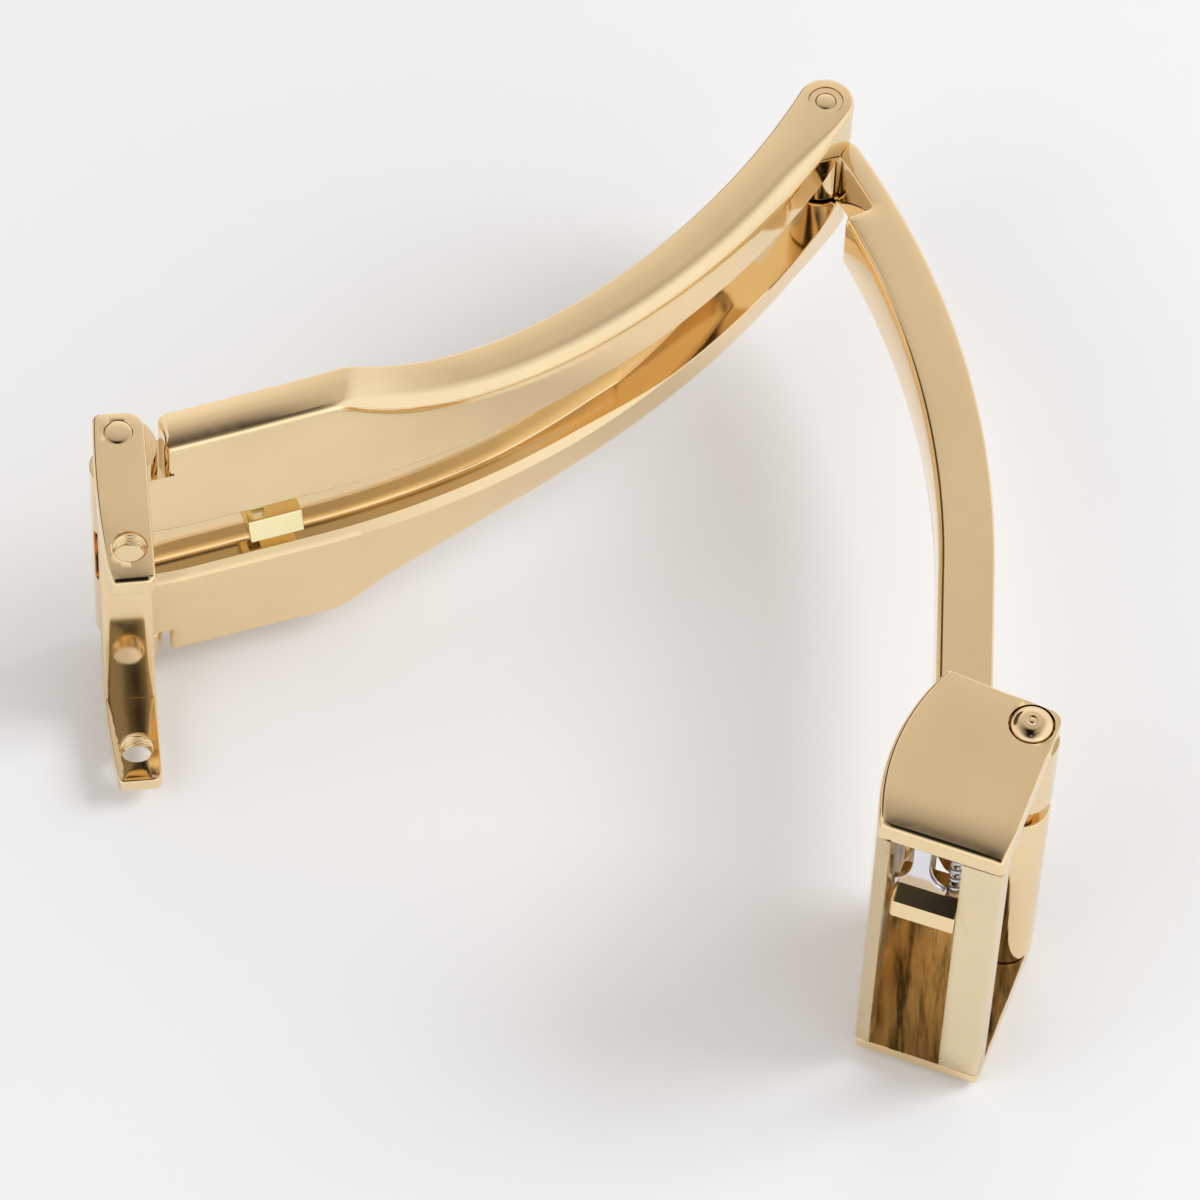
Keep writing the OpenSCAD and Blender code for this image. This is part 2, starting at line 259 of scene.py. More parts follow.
def prism(name, outline, zbot, ztop, fb=(0.05, 0.05), ft=(0.05, 0.05), crown=(0.0, 0.0), crown_b=None, holes=(), seg=3, grid=0.35, step=0.3, belly=None, belly_n=12, clear=(), extra=None):
    """A plate along Z with rounded edges. fb and ft are (plan, height) of the roundings, as numbers or one per outline point;
    crown is (drop, width) of the soft fall of the face towards its edge; holes are (centre, [(r, z)...]) from top to bottom,
    where z None is the face itself; belly is how far the side wall stands out halfway up, per outline point."""
    p = resample(outline, step)
    for c, dist in clear:
        # points close to a sharp corner would cross over when the rounding pulls them in
        away = np.linalg.norm(p - c, axis=1)
        p = p[(away > dist) | (away < 1e-3)]
    if area(p) < 0:
        p = p[::-1]
    n = outward(p)
    N = len(p)
    top = ztop if callable(ztop) else (lambda q: np.full(len(q), float(ztop)))
    bot = zbot if callable(zbot) else (lambda q: np.full(len(q), float(zbot)))
    crown_b = crown if crown_b is None else crown_b

    def per(v):
        if callable(v):
            return np.array([v(q) for q in p])
        return np.tile(np.array(v, float), (N, 1))

    FB, FT = per(fb), per(ft)
    verts, faces, rings = [], [], []

    def add_ring(xy, z):
        i = len(verts)
        verts.extend([(a[0], a[1], float(b)) for a, b in zip(xy, z)])
        rings.append(list(range(i, i + len(xy))))

    for k in range(seg + 1):
        a = math.pi / 2 * k / seg
        xy = p - n * (FB[:, :1] * (1 - math.sin(a)))
        add_ring(xy, bot(xy) + crown_b[0] + FB[:, 1] * (1 - math.cos(a)))
    if belly is not None:
        bl = np.array([belly(q) for q in p])
        z0, z1 = bot(p) + crown_b[0] + FB[:, 1], top(p) - crown[0] - FT[:, 1]
        for k in range(1, belly_n):
            t = k / belly_n
            add_ring(p + n * (bl * 4 * t * (1 - t))[:, None], z0 + (z1 - z0) * t)
    for k in range(seg, -1, -1):
        a = math.pi / 2 * k / seg
        xy = p - n * (FT[:, :1] * (1 - math.sin(a)))
        add_ring(xy, top(xy) - crown[0] - FT[:, 1] * (1 - math.cos(a)))
    if extra is not None:
        # two more rings on the face, so that the shading is even along the rim
        ex = np.array([extra(q) for q in p])[:, None]
        for k in (0.3, 1.0):
            xy = p - n * (FT[:, :1] + ex * k)
            add_ring(xy, top(xy) - crown[0])
            xy = p - n * (FB[:, :1] + ex * k)
            low_ring = [tuple(a) + (float(b),) for a, b in zip(xy, bot(xy) + crown_b[0])]
            i = len(verts)
            verts.extend(low_ring)
            rings.insert(0, list(range(i, i + N)))
    for r0, r1 in zip(rings[:-1], rings[1:]):
        for i in range(N):
            j = (i + 1) % N
            faces.append((r0[i], r0[j], r1[j], r1[i]))

    M = 72

    def circle(c, r):
        return np.array([(c[0] + r * math.cos(2 * math.pi * i / M), c[1] + r * math.sin(2 * math.pi * i / M)) for i in range(M)])

    for side in (1, 0):
        outer = np.array([verts[i][:2] for i in rings[-1 if side else 0]])
        loops = [circle(c, prof[0][0] if side else prof[-1][0]) for c, prof in holes]
        pos, tris = cap_tris(outer, loops, grid)
        drop, width = crown if side else crown_b
        if width > 0:
            d = seg_dist(pos, outer)
            fall = drop * np.clip(1 - d / width, 0, 1) ** 2
        else:
            fall = np.zeros(len(pos))
        z = top(pos) - fall if side else bot(pos) + fall
        base = len(verts)
        verts.extend([(a[0], a[1], float(b)) for a, b in zip(pos, z)])
        for t in tris:
            faces.append(tuple(base + i for i in (t if side else t[::-1])))
        # the hole's first or last ring takes the face's height, by the same rule
        for h, (c, prof) in enumerate(holes):
            lp = loops[h]
            d = seg_dist(lp, outer)
            fall = drop * np.clip(1 - d / width, 0, 1) ** 2 if width > 0 else np.zeros(M)
            zz = top(lp) - fall if side else bot(lp) + fall
            if side:
                first = [(lp, zz)]
                for r, zr in prof[1:-1]:
                    first.append((circle(c, r), np.full(M, zr)))
                holes_rings.setdefault(id(prof), []).extend(first)
            else:
                holes_rings[id(prof)].append((lp, zz))
    for c, prof in holes:
        rr = holes_rings.pop(id(prof))
        ids = []
        for xy, z in rr:
            i = len(verts)
            verts.extend([(a[0], a[1], float(b)) for a, b in zip(xy, z)])
            ids.append(list(range(i, i + M)))
        for r0, r1 in zip(ids[:-1], ids[1:]):
            for i in range(M):
                j = (i + 1) % M
                faces.append((r0[i], r0[j], r1[j], r1[i]))
    return new_obj(name, verts, faces)


holes_rings = {}


def revolve(name, c, prof, n=96, axis="z", frame_m=None):
    """Closed or axis-touching profile of (r, z) turned about Z at c."""
    verts, faces, rows = [], [], []
    for r, z in prof:
        i = len(verts)
        if r < 1e-6:
            verts.append((c[0], c[1], z))
            rows.append([i])
        else:
            verts.extend([(c[0] + r * math.cos(2 * math.pi * k / n), c[1] + r * math.sin(2 * math.pi * k / n), z) for k in range(n)])
            rows.append(list(range(i, i + n)))
    closed = prof[0][0] > 1e-6
    pairs = list(zip(rows[:-1], rows[1:])) + ([(rows[-1], rows[0])] if closed else [])
    for r0, r1 in pairs:
        for k in range(n):
            j = (k + 1) % n
            if len(r0) == 1 and len(r1) == 1:
                continue
            if len(r0) == 1:
                faces.append((r0[0], r1[j], r1[k]))
            elif len(r1) == 1:
                faces.append((r0[k], r0[j], r1[0]))
            else:
                faces.append((r0[k], r0[j], r1[j], r1[k]))
    return new_obj(name, verts, faces)


def loft(name, sections, caps=True):
    """Closed sections with the same number of points, joined in a row."""
    verts, faces, rows = [], [], []
    for s in sections:
        i = len(verts)
        verts.extend(s)
        rows.append(list(range(i, i + len(s))))
    n = len(rows[0])
    for r0, r1 in zip(rows[:-1], rows[1:]):
        for i in range(n):
            j = (i + 1) % n
            faces.append((r0[i], r0[j], r1[j], r1[i]))
    if caps:
        faces.append(tuple(rows[0][::-1]))
        faces.append(tuple(rows[-1]))
    return new_obj(name, verts, faces)


def flat_extrude(name, outline, z0, z1):
    p = np.array(outline, float)
    if area(p) < 0:
        p = p[::-1]
    n = len(p)
    verts = [(a[0], a[1], z0) for a in p] + [(a[0], a[1], z1) for a in p]
    faces = [tuple(range(n - 1, -1, -1)), tuple(range(n, 2 * n))] + [(i, (i + 1) % n, n + (i + 1) % n, n + i) for i in range(n)]
    return new_obj(name, verts, faces)


def rounding(r, edge, hi, k=5, sign=1):
    """Points of a rounded rim from radius r - edge at height hi to radius r at hi - edge."""
    return [(r - edge * (1 - math.sin(math.pi / 2 * i / k)), hi - sign * edge * (1 - math.cos(math.pi / 2 * i / k))) for i in range(k + 1)]


# ------------------------------------------------------------------ materials
def nodes_of(name):
    m = bpy.data.materials.new(name)
    m.use_nodes = True
    nt = m.node_tree
    nt.nodes.clear()
    out = nt.nodes.new("ShaderNodeOutputMaterial")
    b = nt.nodes.new("ShaderNodeBsdfPrincipled")
    nt.links.new(b.outputs[0], out.inputs[0])
    return m, nt, b


def noise(nt, scale, detail=3.0, rough=0.5, coords=None, stretch=None):
    n = nt.nodes.new("ShaderNodeTexNoise")
    n.inputs["Scale"].default_value = scale
    n.inputs["Detail"].default_value = detail
    n.inputs["Roughness"].default_value = rough
    src = coords.outputs["Object"]
    if stretch:
        mp = nt.nodes.new("ShaderNodeMapping")
        mp.inputs["Scale"].default_value = stretch
        nt.links.new(src, mp.inputs["Vector"])
        src = mp.outputs["Vector"]
    nt.links.new(src, n.inputs["Vector"])
    return n


def ramp(nt, fac, stops):
    r = nt.nodes.new("ShaderNodeValToRGB")
    e = r.color_ramp.elements
    while len(e) > 1:
        e.remove(e[-1])
    e[0].position, e[0].color = stops[0][0], (*stops[0][1], 1)
    for pos, col in stops[1:]:
        k = e.new(pos)
        k.color = (*col, 1)
    nt.links.new(fac, r.inputs["Fac"])
    return r


def span(nt, value, a, b, lo, hi):
    r = nt.nodes.new("ShaderNodeMapRange")
    r.clamp = True
    r.inputs["From Min"].default_value = a
    r.inputs["From Max"].default_value = b
    r.inputs["To Min"].default_value = lo
    r.inputs["To Max"].default_value = hi
    nt.links.new(value, r.inputs["Value"])
    return r


def cavity_mask(nt, tc):
    """1 on surfaces that look into the cover's cavity, 0 elsewhere; it places the painted shade and painted reflection
    streaks there, and the raised roughness.
    """
    sub = nt.nodes.new("ShaderNodeVectorMath")
    sub.operation = "SUBTRACT"
    sub.inputs[1].default_value = ((21.5 - MID[0]) / 1000, (-15.24 - MID[1]) / 1000, 0.0)
    nt.links.new(tc.outputs["Object"], sub.inputs[0])
    flat = nt.nodes.new("ShaderNodeVectorMath")
    flat.operation = "MULTIPLY"
    flat.inputs[1].default_value = (1.0, 1.0, 0.0)
    nt.links.new(sub.outputs[0], flat.inputs[0])
    ln = nt.nodes.new("ShaderNodeVectorMath")
    ln.operation = "LENGTH"
    nt.links.new(flat.outputs[0], ln.inputs[0])
    sep = nt.nodes.new("ShaderNodeSeparateXYZ")
    nt.links.new(tc.outputs["Object"], sep.inputs[0])
    parts = [
        span(nt, ln.outputs["Value"], 0.00958, 0.00972, 1.0, 0.0),
        span(nt, sep.outputs["Z"], 0.00094, 0.00098, 0.0, 1.0),
        span(nt, sep.outputs["Z"], 0.01622, 0.01626, 1.0, 0.0),
    ]
    out = parts[0].outputs["Result"]
    for q in parts[1:]:
        mul = nt.nodes.new("ShaderNodeMath")
        mul.operation = "MULTIPLY"
        nt.links.new(out, mul.inputs[0])
        nt.links.new(q.outputs["Result"], mul.inputs[1])
        out = mul.outputs[0]
    return out


def metal(name, base, rough, wave=0.0, scratch=0.0, grain=None, patch_tint=None, var=0.03, cavity=None):
    """Polished or satin metal: base colour with a faint cloud, optional patches of another tint at random, roughness
    from fine wiping marks, and a very slight polishing wave. Inside the cover's cavity the colour is painted shade,
    darker brown with streaks of painted shade and painted reflection, and the roughness is raised there.
    """
    m, nt, b = nodes_of(name)
    b.inputs["Metallic"].default_value = 1.0
    tc = nt.nodes.new("ShaderNodeTexCoord")
    cloud = noise(nt, 260.0, 4.0, 0.55, tc)
    lo = tuple(max(0.0, c * (1 - var)) for c in base)
    hi = tuple(min(1.0, c * (1 + var)) for c in base)
    col = ramp(nt, cloud.outputs["Fac"], [(0.3, lo), (0.7, hi)])
    colour = col.outputs["Color"]
    # patches of a darker orange tint at random, stretched along Z, mixed into the base colour
    if patch_tint:
        sc = noise(nt, patch_tint[1], 6.0, 0.68, tc, patch_tint[3])
        mask = span(nt, sc.outputs["Fac"], patch_tint[2], patch_tint[2] + 0.06, 0.0, patch_tint[4])
        mix = nt.nodes.new("ShaderNodeMixRGB")
        nt.links.new(mask.outputs["Result"], mix.inputs["Fac"])
        nt.links.new(colour, mix.inputs["Color1"])
        mix.inputs["Color2"].default_value = (*patch_tint[0], 1)
        colour = mix.outputs["Color"]
    wipe = noise(nt, 900.0, 5.0, 0.65, tc, (1.0, 1.0, 6.0))
    rr = span(nt, wipe.outputs["Fac"], 0.3, 0.75, rough * 0.75, rough * 1.5)
    rough_out = rr.outputs["Result"]
    # painted shade and painted reflection: surfaces inside the cover's cavity get a darker brown colour with stretched
    # dark and light streaks; their roughness is raised as well
    if cavity:
        mask = cavity_mask(nt, tc)
        mix = nt.nodes.new("ShaderNodeMixRGB")
        nt.links.new(mask, mix.inputs["Fac"])
        nt.links.new(colour, mix.inputs["Color1"])
        shade_and_reflection_streak = noise(nt, 2100.0, 5.0, 0.62, tc, (1.0, 0.13, 0.12))
        tone = ramp(nt, shade_and_reflection_streak.outputs["Fac"], [(0.36, tuple(c * 0.20 for c in cavity[0])), (0.55, cavity[0]), (0.74, tuple(min(1.0, c * 1.35) for c in cavity[0]))])
        nt.links.new(tone.outputs["Color"], mix.inputs["Color2"])
        colour = mix.outputs["Color"]
        add = nt.nodes.new("ShaderNodeMath")
        add.operation = "MULTIPLY_ADD"
        nt.links.new(mask, add.inputs[0])
        add.inputs[1].default_value = cavity[1]
        nt.links.new(rough_out, add.inputs[2])
        rough_out = add.outputs[0]
    nt.links.new(colour, b.inputs["Base Color"])
    nt.links.new(rough_out, b.inputs["Roughness"])
    last = None
    if wave > 0:
        w = noise(nt, 170.0, 1.5, 0.4, tc)
        bp = nt.nodes.new("ShaderNodeBump")
        bp.inputs["Strength"].default_value = 1.0
        bp.inputs["Distance"].default_value = wave
        nt.links.new(w.outputs["Fac"], bp.inputs["Height"])
        last = bp
    if scratch > 0:
        s = noise(nt, 2600.0, 2.0, 0.5, tc, grain or (1.0, 1.0, 10.0))
        bp = nt.nodes.new("ShaderNodeBump")
        bp.inputs["Strength"].default_value = 1.0
        bp.inputs["Distance"].default_value = scratch
        nt.links.new(s.outputs["Fac"], bp.inputs["Height"])
        if last:
            nt.links.new(last.outputs["Normal"], bp.inputs["Normal"])
        last = bp
    if last:
        nt.links.new(last.outputs["Normal"], b.inputs["Normal"])
    return m


GOLD = (0.90, 0.70, 0.42)
gold = metal("polished_gold", GOLD, 0.075, wave=2.0e-6, scratch=0.0)
# inside the cover's cavity this material paints shade and reflection streaks into the colour
gold_cover = metal("cover_gold", GOLD, 0.075, wave=2.0e-6, cavity=((0.60, 0.40, 0.165), 0.24))
gold_pin = metal("pin_gold", (0.87, 0.67, 0.40), 0.10, wave=1.5e-6, scratch=2e-8)
gold_frame = metal(
    "frame_gold", (0.81, 0.68, 0.44), 0.22, scratch=2e-8, grain=(1.0, 1.0, 0.25), var=0.02, patch_tint=((0.72, 0.46, 0.20), 520.0, 0.60, (1.0, 1.0, 0.6), 0.35)
)
gold_block = metal("block_gold", (1.0, 0.87, 0.52), 0.34, wave=1e-6)
gold_lip = metal("lip_gold", (0.70, 0.56, 0.35), 0.22, scratch=2e-8, grain=(1.0, 1.0, 0.25), var=0.02, patch_tint=((0.60, 0.38, 0.17), 520.0, 0.58, (1.0, 1.0, 0.6), 0.4))
steel = metal("steel_wire", (0.58, 0.59, 0.62), 0.22, scratch=8e-8)
steel_pol = metal("polished_steel", (0.80, 0.79, 0.84), 0.12, wave=1e-6)


# ------------------------------------------------------------------ wide blade
A0, A1, AR = 20.8, 64.0, 40.0
AC = np.array([-26.215, 40.94])
N0 = np.array([-math.sin(rad(A0)), math.cos(rad(A0))])
T0 = np.array([math.cos(rad(A0)), math.sin(rad(A0))])
TP = AC - AR * N0
HEAD_T, END_R, HEAD_L = 1.9, 1.22, 8.1
HEAD_W, FORK_W, X_TAPER = 14.86, 7.9, -10.9


def thick(a):
    return HEAD_T + (2 * END_R - HEAD_T) * max(0.0, (a - A0) / (A1 - A0))


def on_arc(a, r):
    return AC + r * np.array([math.sin(rad(a)), -math.cos(rad(a))])


def half_w(x):
    """Half width of the wide blade at x; the shoulder is blended over a third of a millimetre."""
    w = 0.22
    u = (np.asarray(x, float) - X_TAPER) / w
    s = np.where(u > 30, u, np.log1p(np.exp(np.clip(u, -60, 30)))) * w
    return FORK_W / 2 + (HEAD_W - FORK_W) / 2 * np.exp(-s / 4.9)


def curve_at(s):
    """Outer face of the wide blade: point, inward normal and direction angle. s counts from the meeting point of head and arc."""
    if s <= 0:
        return TP + s * T0, N0, A0
    a = A0 + math.degrees(s / AR)
    return on_arc(a, AR), np.array([-math.sin(rad(a)), math.cos(rad(a))]), a


KN_H, NOTCH_R = 5.55, 1.87
LP_A, LP_D = -8.18, 1.122
BELLY = 0.16


def along(u, d):
    """Point of the head's side view: u along the head from the meeting point, d inwards from its outer face."""
    return TP + u * T0 + d * N0


def notch_outline():
    """Side view of what is cut away round a boss, with rounded corners where it leaves the head's faces."""
    pts = [(-14.0, -4.0)]
    lo, hi = 0.30, 0.30
    # outer corner
    x = LP_A + math.sqrt((NOTCH_R + lo) ** 2 - (LP_D - lo) ** 2)
    tx, ty = LP_A + (x - LP_A) * NOTCH_R / (NOTCH_R + lo), LP_D + (lo - LP_D) * NOTCH_R / (NOTCH_R + lo)
    pts += [(x, -4.0)]
    s, f = -90.0, math.degrees(math.atan2(ty - lo, tx - x)) - 360.0
    pts += [(x + lo * math.cos(rad(s + (f - s) * i / 6)), lo + lo * math.sin(rad(s + (f - s) * i / 6))) for i in range(7)]
    g0 = math.degrees(math.atan2(ty - LP_D, tx - LP_A))
    c = HEAD_T - hi
    x = LP_A + math.sqrt((NOTCH_R + hi) ** 2 - (c - LP_D) ** 2)
    tx, ty = LP_A + (x - LP_A) * NOTCH_R / (NOTCH_R + hi), LP_D + (c - LP_D) * NOTCH_R / (NOTCH_R + hi)
    g1 = math.degrees(math.atan2(ty - LP_D, tx - LP_A))
    pts += [(LP_A + NOTCH_R * math.cos(rad(g0 + (g1 - g0) * i / 14)), LP_D + NOTCH_R * math.sin(rad(g0 + (g1 - g0) * i / 14))) for i in range(1, 14)]
    s, f = math.degrees(math.atan2(ty - c, tx - x)), 90.0
    s += 360 if s < 0 else 0
    pts += [(x + hi * math.cos(rad(s + (f - s) * i / 6)), c + hi * math.sin(rad(s + (f - s) * i / 6))) for i in range(7)]
    pts += [(x, 5.0), (-14.0, 5.0)]
    return np.array([along(*q) for q in pts])


def notch_cutter(name, side):
    """Straight walls that flare where they meet the blade's side face."""
    p = notch_outline()
    n = outward(p) if area(p) > 0 else -outward(p)
    face = HEAD_W / 2 - 0.03
    rows = []
    for z, off in ((KN_H, 0.0), (face - 0.40, 0.0), (face - 0.31, 0.01), (face - 0.23, 0.03), (face - 0.16, 0.06), (face - 0.10, 0.10), (face - 0.05, 0.145), (face, 0.20), (face + 0.05, 0.27), (face + 2.0, 0.27)):
        q = p + n * off
        rows.append([(float(v[0]), float(v[1]), ZM + side * z) for v in q])
    return loft(name, rows)


def belly_at(q):
    """Outer face only: it is a little fuller in the middle of its width."""
    rel = q - TP
    u, d = float(rel @ T0), float(rel @ N0)
    if u < 0:
        if d > 0.3:
            return 0.0
        k = min(1.0, max(0.0, (u + 7.9) / 2.4))
    else:
        if AR - np.linalg.norm(q - AC) > 0.3:
            return 0.0
        arc_s = AR * rad(math.degrees(math.atan2(q[0] - AC[0], AC[1] - q[1])) - A0)
        k = min(1.0, max(0.0, (30.0 - arc_s) / 3.0))
    return BELLY * k * k * (3 - 2 * k)


def wide_blade():
    n_arc = 150
    outer = [tuple(on_arc(A0 + (A1 - A0) * i / n_arc, AR)) for i in range(n_arc + 1)]
    inner = [tuple(on_arc(A0 + (A1 - A0) * i / n_arc, AR - thick(A0 + (A1 - A0) * i / n_arc))) for i in range(n_arc, -1, -1)]
    # rounded fork end about the fold pin
    o_end, i_end = np.array(outer[-1]), np.array(inner[0])
    s = math.degrees(math.atan2(*(o_end - FP)[::-1]))
    f = math.degrees(math.atan2(*(i_end - FP)[::-1]))
    f += 360 if f < s else 0
    end = arc(FP, END_R, s + 4, f - 4, 40)
    # the head runs on to the middle of the barrel; beside the bosses it is cut back below
    outline = [tuple(along(LP_A, 0.0))] + outer + end + inner + [tuple(along(LP_A, HEAD_T))]

    def roll(q):
        """How far the side faces fall towards the outer edge of the head."""
        rel = q - TP
        u, d = rel @ T0, rel @ N0
        k = np.clip((1.5 - u) / 5.0, 0, 1)
        k = k * k * (3 - 2 * k)
        return k * (0.17 * np.clip(1 - d / 1.5, 0, 1) ** 3 + 0.06 * np.clip(d - 0.85, 0, 1.1) ** 2)

    def fillet_t(q):
        """Small rounding on the head's outer edge, growing to a big one along the fork."""
        rel = q - TP
        u = float(rel @ T0)
        depth = float(rel @ N0)
        on_outer = depth < 0.4 if u < 0 else (AR - np.linalg.norm(q - AC)) < 0.5
        if on_outer:
            if u < 0:
                k = min(1.0, max(0.0, (u + 3.0) / 3.0))
                m = min(1.0, max(0.0, (u + 7.5) / 0.7))
                return (0.13 + 0.09 * m + 0.10 * k, 0.15 + 0.13 * m + 0.06 * k)
            s_ = AR * rad(math.degrees(math.atan2(q[0] - AC[0], AC[1] - q[1])) - A0)
            k = min(1.0, max(0.0, s_ / 4.6))
            k = k * k * (3 - 2 * k)
            m = min(1.0, max(0.0, (s_ - 4.0) / 8.0))
            end = min(1.0, max(0.0, (30.5 - s_) / 5.0))
            end = end * end * (3 - 2 * end)
            return (0.18 + (0.14 + 0.43 * k + 0.15 * m) * end, 0.20 + (0.14 + 0.41 * k + 0.15 * m) * end)
        return (0.13, 0.15)

    zt = lambda q: ZM + half_w(q[:, 0]) - roll(q)
    zb = lambda q: ZM - half_w(q[:, 0]) + roll(q)
    body = prism("wide_blade_v", outline, zb, zt, fb=fillet_t, ft=fillet_t, crown=(0.03, 0.8), seg=10, grid=0.28, step=0.22, belly=belly_at, belly_n=16)
    boolean(body, notch_cutter("notch_n", 1))
    boolean(body, notch_cutter("notch_f", -1))
    h = KN_H - 0.004
    barrel = revolve("barrel", LP, [(0.66, ZM - h)] + [(r, z) for r, z in rounding(1.25, 0.07, ZM - h, 4, -1)]
                     + [(r, z) for r, z in reversed(rounding(1.25, 0.07, ZM + h, 4))] + [(0.66, ZM + h)])
    boolean(body, barrel, "UNION")
    # the pin's bore through head and barrel
    boolean(body, revolve("bore", LP, [(0, 2.0), (0.65, 2.0), (0.65, 15.4), (0, 15.4)]))
    # channel in the outer face; near the hinge its floor falls away into the through slot
    secs = []
    ss = np.concatenate([np.linspace(-9.6, -6.0, 14), np.linspace(-5.7, 15.6, 130), np.linspace(15.7, 24.2, 50), np.linspace(24.35, 25.4, 16), np.linspace(25.6, 34.5, 40)])
    for s_ in ss:
        pt, nn, a = curve_at(float(s_))
        k = min(1.0, max(0.0, (s_ - 12.0) / 6.0))
        k = k * k * (3 - 2 * k)
        up = 0.9 * belly_at(np.array(pt) + 1e-4 * nn)
        mouth = 2.0 - 0.22 * k
        b = 0.36 - 0.28 * k
        w = 1.68 + 0.05 * k
        g = min(1.0, max(0.0, (s_ - 24.4) / 0.9))
        d0 = 0.98 + 0.22 * min(1.0, max(0.0, (s_ - 9.0) / 5.0)) + 0.104 * max(0.0, s_ - 15.6)
        depth = d0 + (thick(a) + 0.9 - d0) * (g * g * (3 - 2 * g))
        # the near edge of the mouth is rounded, the far edge has a flat bevel
        low = [(0.6, w), (depth - 0.12, w), (depth - 0.06, w - 0.016), (depth - 0.016, w - 0.06), (depth, w - 0.12)]
        near = [(-0.9, mouth + 0.5), (-up - 0.02, mouth + 0.02), (-up + b * 0.09, w + (mouth - w) * 0.62), (-up + b * 0.34, w + (mouth - w) * 0.26), (-up + b * 0.9, w + (mouth - w) * 0.02)] + low
        far = [(-0.9, mouth + 0.9), (-up, mouth), (-up + b * 0.5, (mouth + w) / 2), (-up + b, w), (-up + b + 0.02, w)] + low
        prof = near + [(d, -z) for d, z in reversed(far)]
        secs.append([(float(pt[0] + nn[0] * d), float(pt[1] + nn[1] * d), ZM + z) for d, z in prof])
    boolean(body, loft("channel", secs))
    boolean(body, revolve("fold_bore", FP, [(0, 2), (0.755, 2), (0.755, 15), (0, 15)]))
    return done(body, gold, "wide_blade_body", ["wide_blade"], smooth=30)


wide_blade()


def catch_block():
    rot = Matrix.Translation((TP[0], TP[1], ZM)) @ Matrix.Rotation(rad(A0), 4, "Z")
    x0, x1, y0, y1, z = -2.95, -0.62, 0.0, 1.2, 0.47
    out = []
    for p in ((x0, y0), (x1, y0), (x1, y1), (x0, y1)):
        out.append(p)
    hole = [(x0 + 0.3, 0.38), (x0 + 0.3, 0.84), (x0 + 0.82, 0.84), (x0 + 0.82, 0.38)]
    pos, tris = cap_tris(resample(out, 0.6), [resample(hole[::-1], 0.6)], 0.4)
    verts, faces = [], []
    for zz in (-z, z):
        verts += [(a[0], a[1], zz) for a in pos]
    k = len(pos)
    for t in tris:
        faces.append(tuple(i + k for i in t))
        faces.append(tuple(t[::-1]))
    for loop in (resample(out, 0.6), resample(hole, 0.6)):
        m = len(loop)
        base = len(verts)
        for zz in (-z, z):
            verts += [(a[0], a[1], zz) for a in loop]
        for i in range(m):
            j = (i + 1) % m
            faces.append((base + i, base + j, base + m + j, base + m + i))
    ob = new_obj("catch_block_v", verts, faces)
    bm = bmesh.new()
    bm.from_mesh(ob.data)
    bmesh.ops.dissolve_limit(bm, angle_limit=rad(1), verts=bm.verts, edges=bm.edges)
    bm.to_mesh(ob.data)
    bm.free()
    bevel(ob, 0.055, 3, 30)
    # its outer face leans a little towards the near side
    for v in ob.data.vertices:
        if v.co.y < 0.3:
            v.co.y += 0.20 * (v.co.z / z) * (0.3 - v.co.y) / 0.3
    ob.data.transform(rot)
    return done(ob, gold_block, "wide_blade_body", ["catch_block"], smooth=40)


catch_block()


# ------------------------------------------------------------------ fold hinge
def fold_hinge():
    h = FORK_W / 2
    lo, hi = ZM - h, ZM + h
    r, q = 0.745, 0.43
    g = 0.028
    prof = [(q, lo + 0.05), (q + g, lo + 0.0), (r - g, lo + 0.0), (r, lo + g), (r, hi - g), (r - g, hi - 0.0), (q + g, hi - 0.0), (q, hi - 0.05)]
    done(revolve("fold_bush_v", FP, prof), gold, "wide_blade_body", ["fold_bush"])
    q = 0.42
    top = [(q * math.cos(rad(t)), hi - 0.03 + 0.05 * math.sin(rad(t))) for t in range(0, 90, 10)] + [(0, hi + 0.02)]
    bot = [(0, lo - 0.02)] + [(q * math.cos(rad(t)), lo + 0.03 - 0.05 * math.sin(rad(t))) for t in range(80, -1, -10)]
    done(revolve("fold_pin_v", FP, bot + top), gold_pin, "wide_blade_body", ["fold_pin"])


fold_hinge()


# ------------------------------------------------------------------ end link
LINK_W, PLATE_T = 15.8, 1.05
SCREW = np.array([-19.17, -3.97])


def thread(c, r, depth, pitch, z_hi, z_lo, levels=44, n=72):
    """Rings of a real helical thread between two faces, from top to bottom, as (loop, heights)."""
    rings = []
    for k in range(levels + 1):
        z = z_hi + (z_lo - z_hi) * k / levels
        fade = min(1.0, k / 4.0, (levels - k) / 4.0)
        xy = []
        for i in range(n):
            t = 2 * math.pi * i / n
            ph = (z / pitch + i / n) % 1.0
            cut = 1 - abs(2 * ph - 1)
            rr = r - depth * fade * (0.5 - 0.5 * math.cos(math.pi * cut))
            xy.append((c[0] + rr * math.cos(t), c[1] + rr * math.sin(t)))
        rings.append((xy, z))
    return rings


L_A, L_B, L_C, L_D = (np.array(q) for q in ((-21.2, 2.55), (-19.12, 2.87), (-17.97, -5.5), (-19.78, -5.78)))
L_DIR = (L_D - L_A) / np.linalg.norm(L_D - L_A)
L_OUT = np.array([L_DIR[1], -L_DIR[0]])


def left_edge(t):
    return L_D + t * (L_A - L_D) + 4 * 0.2 * t * (1 - t) * L_OUT


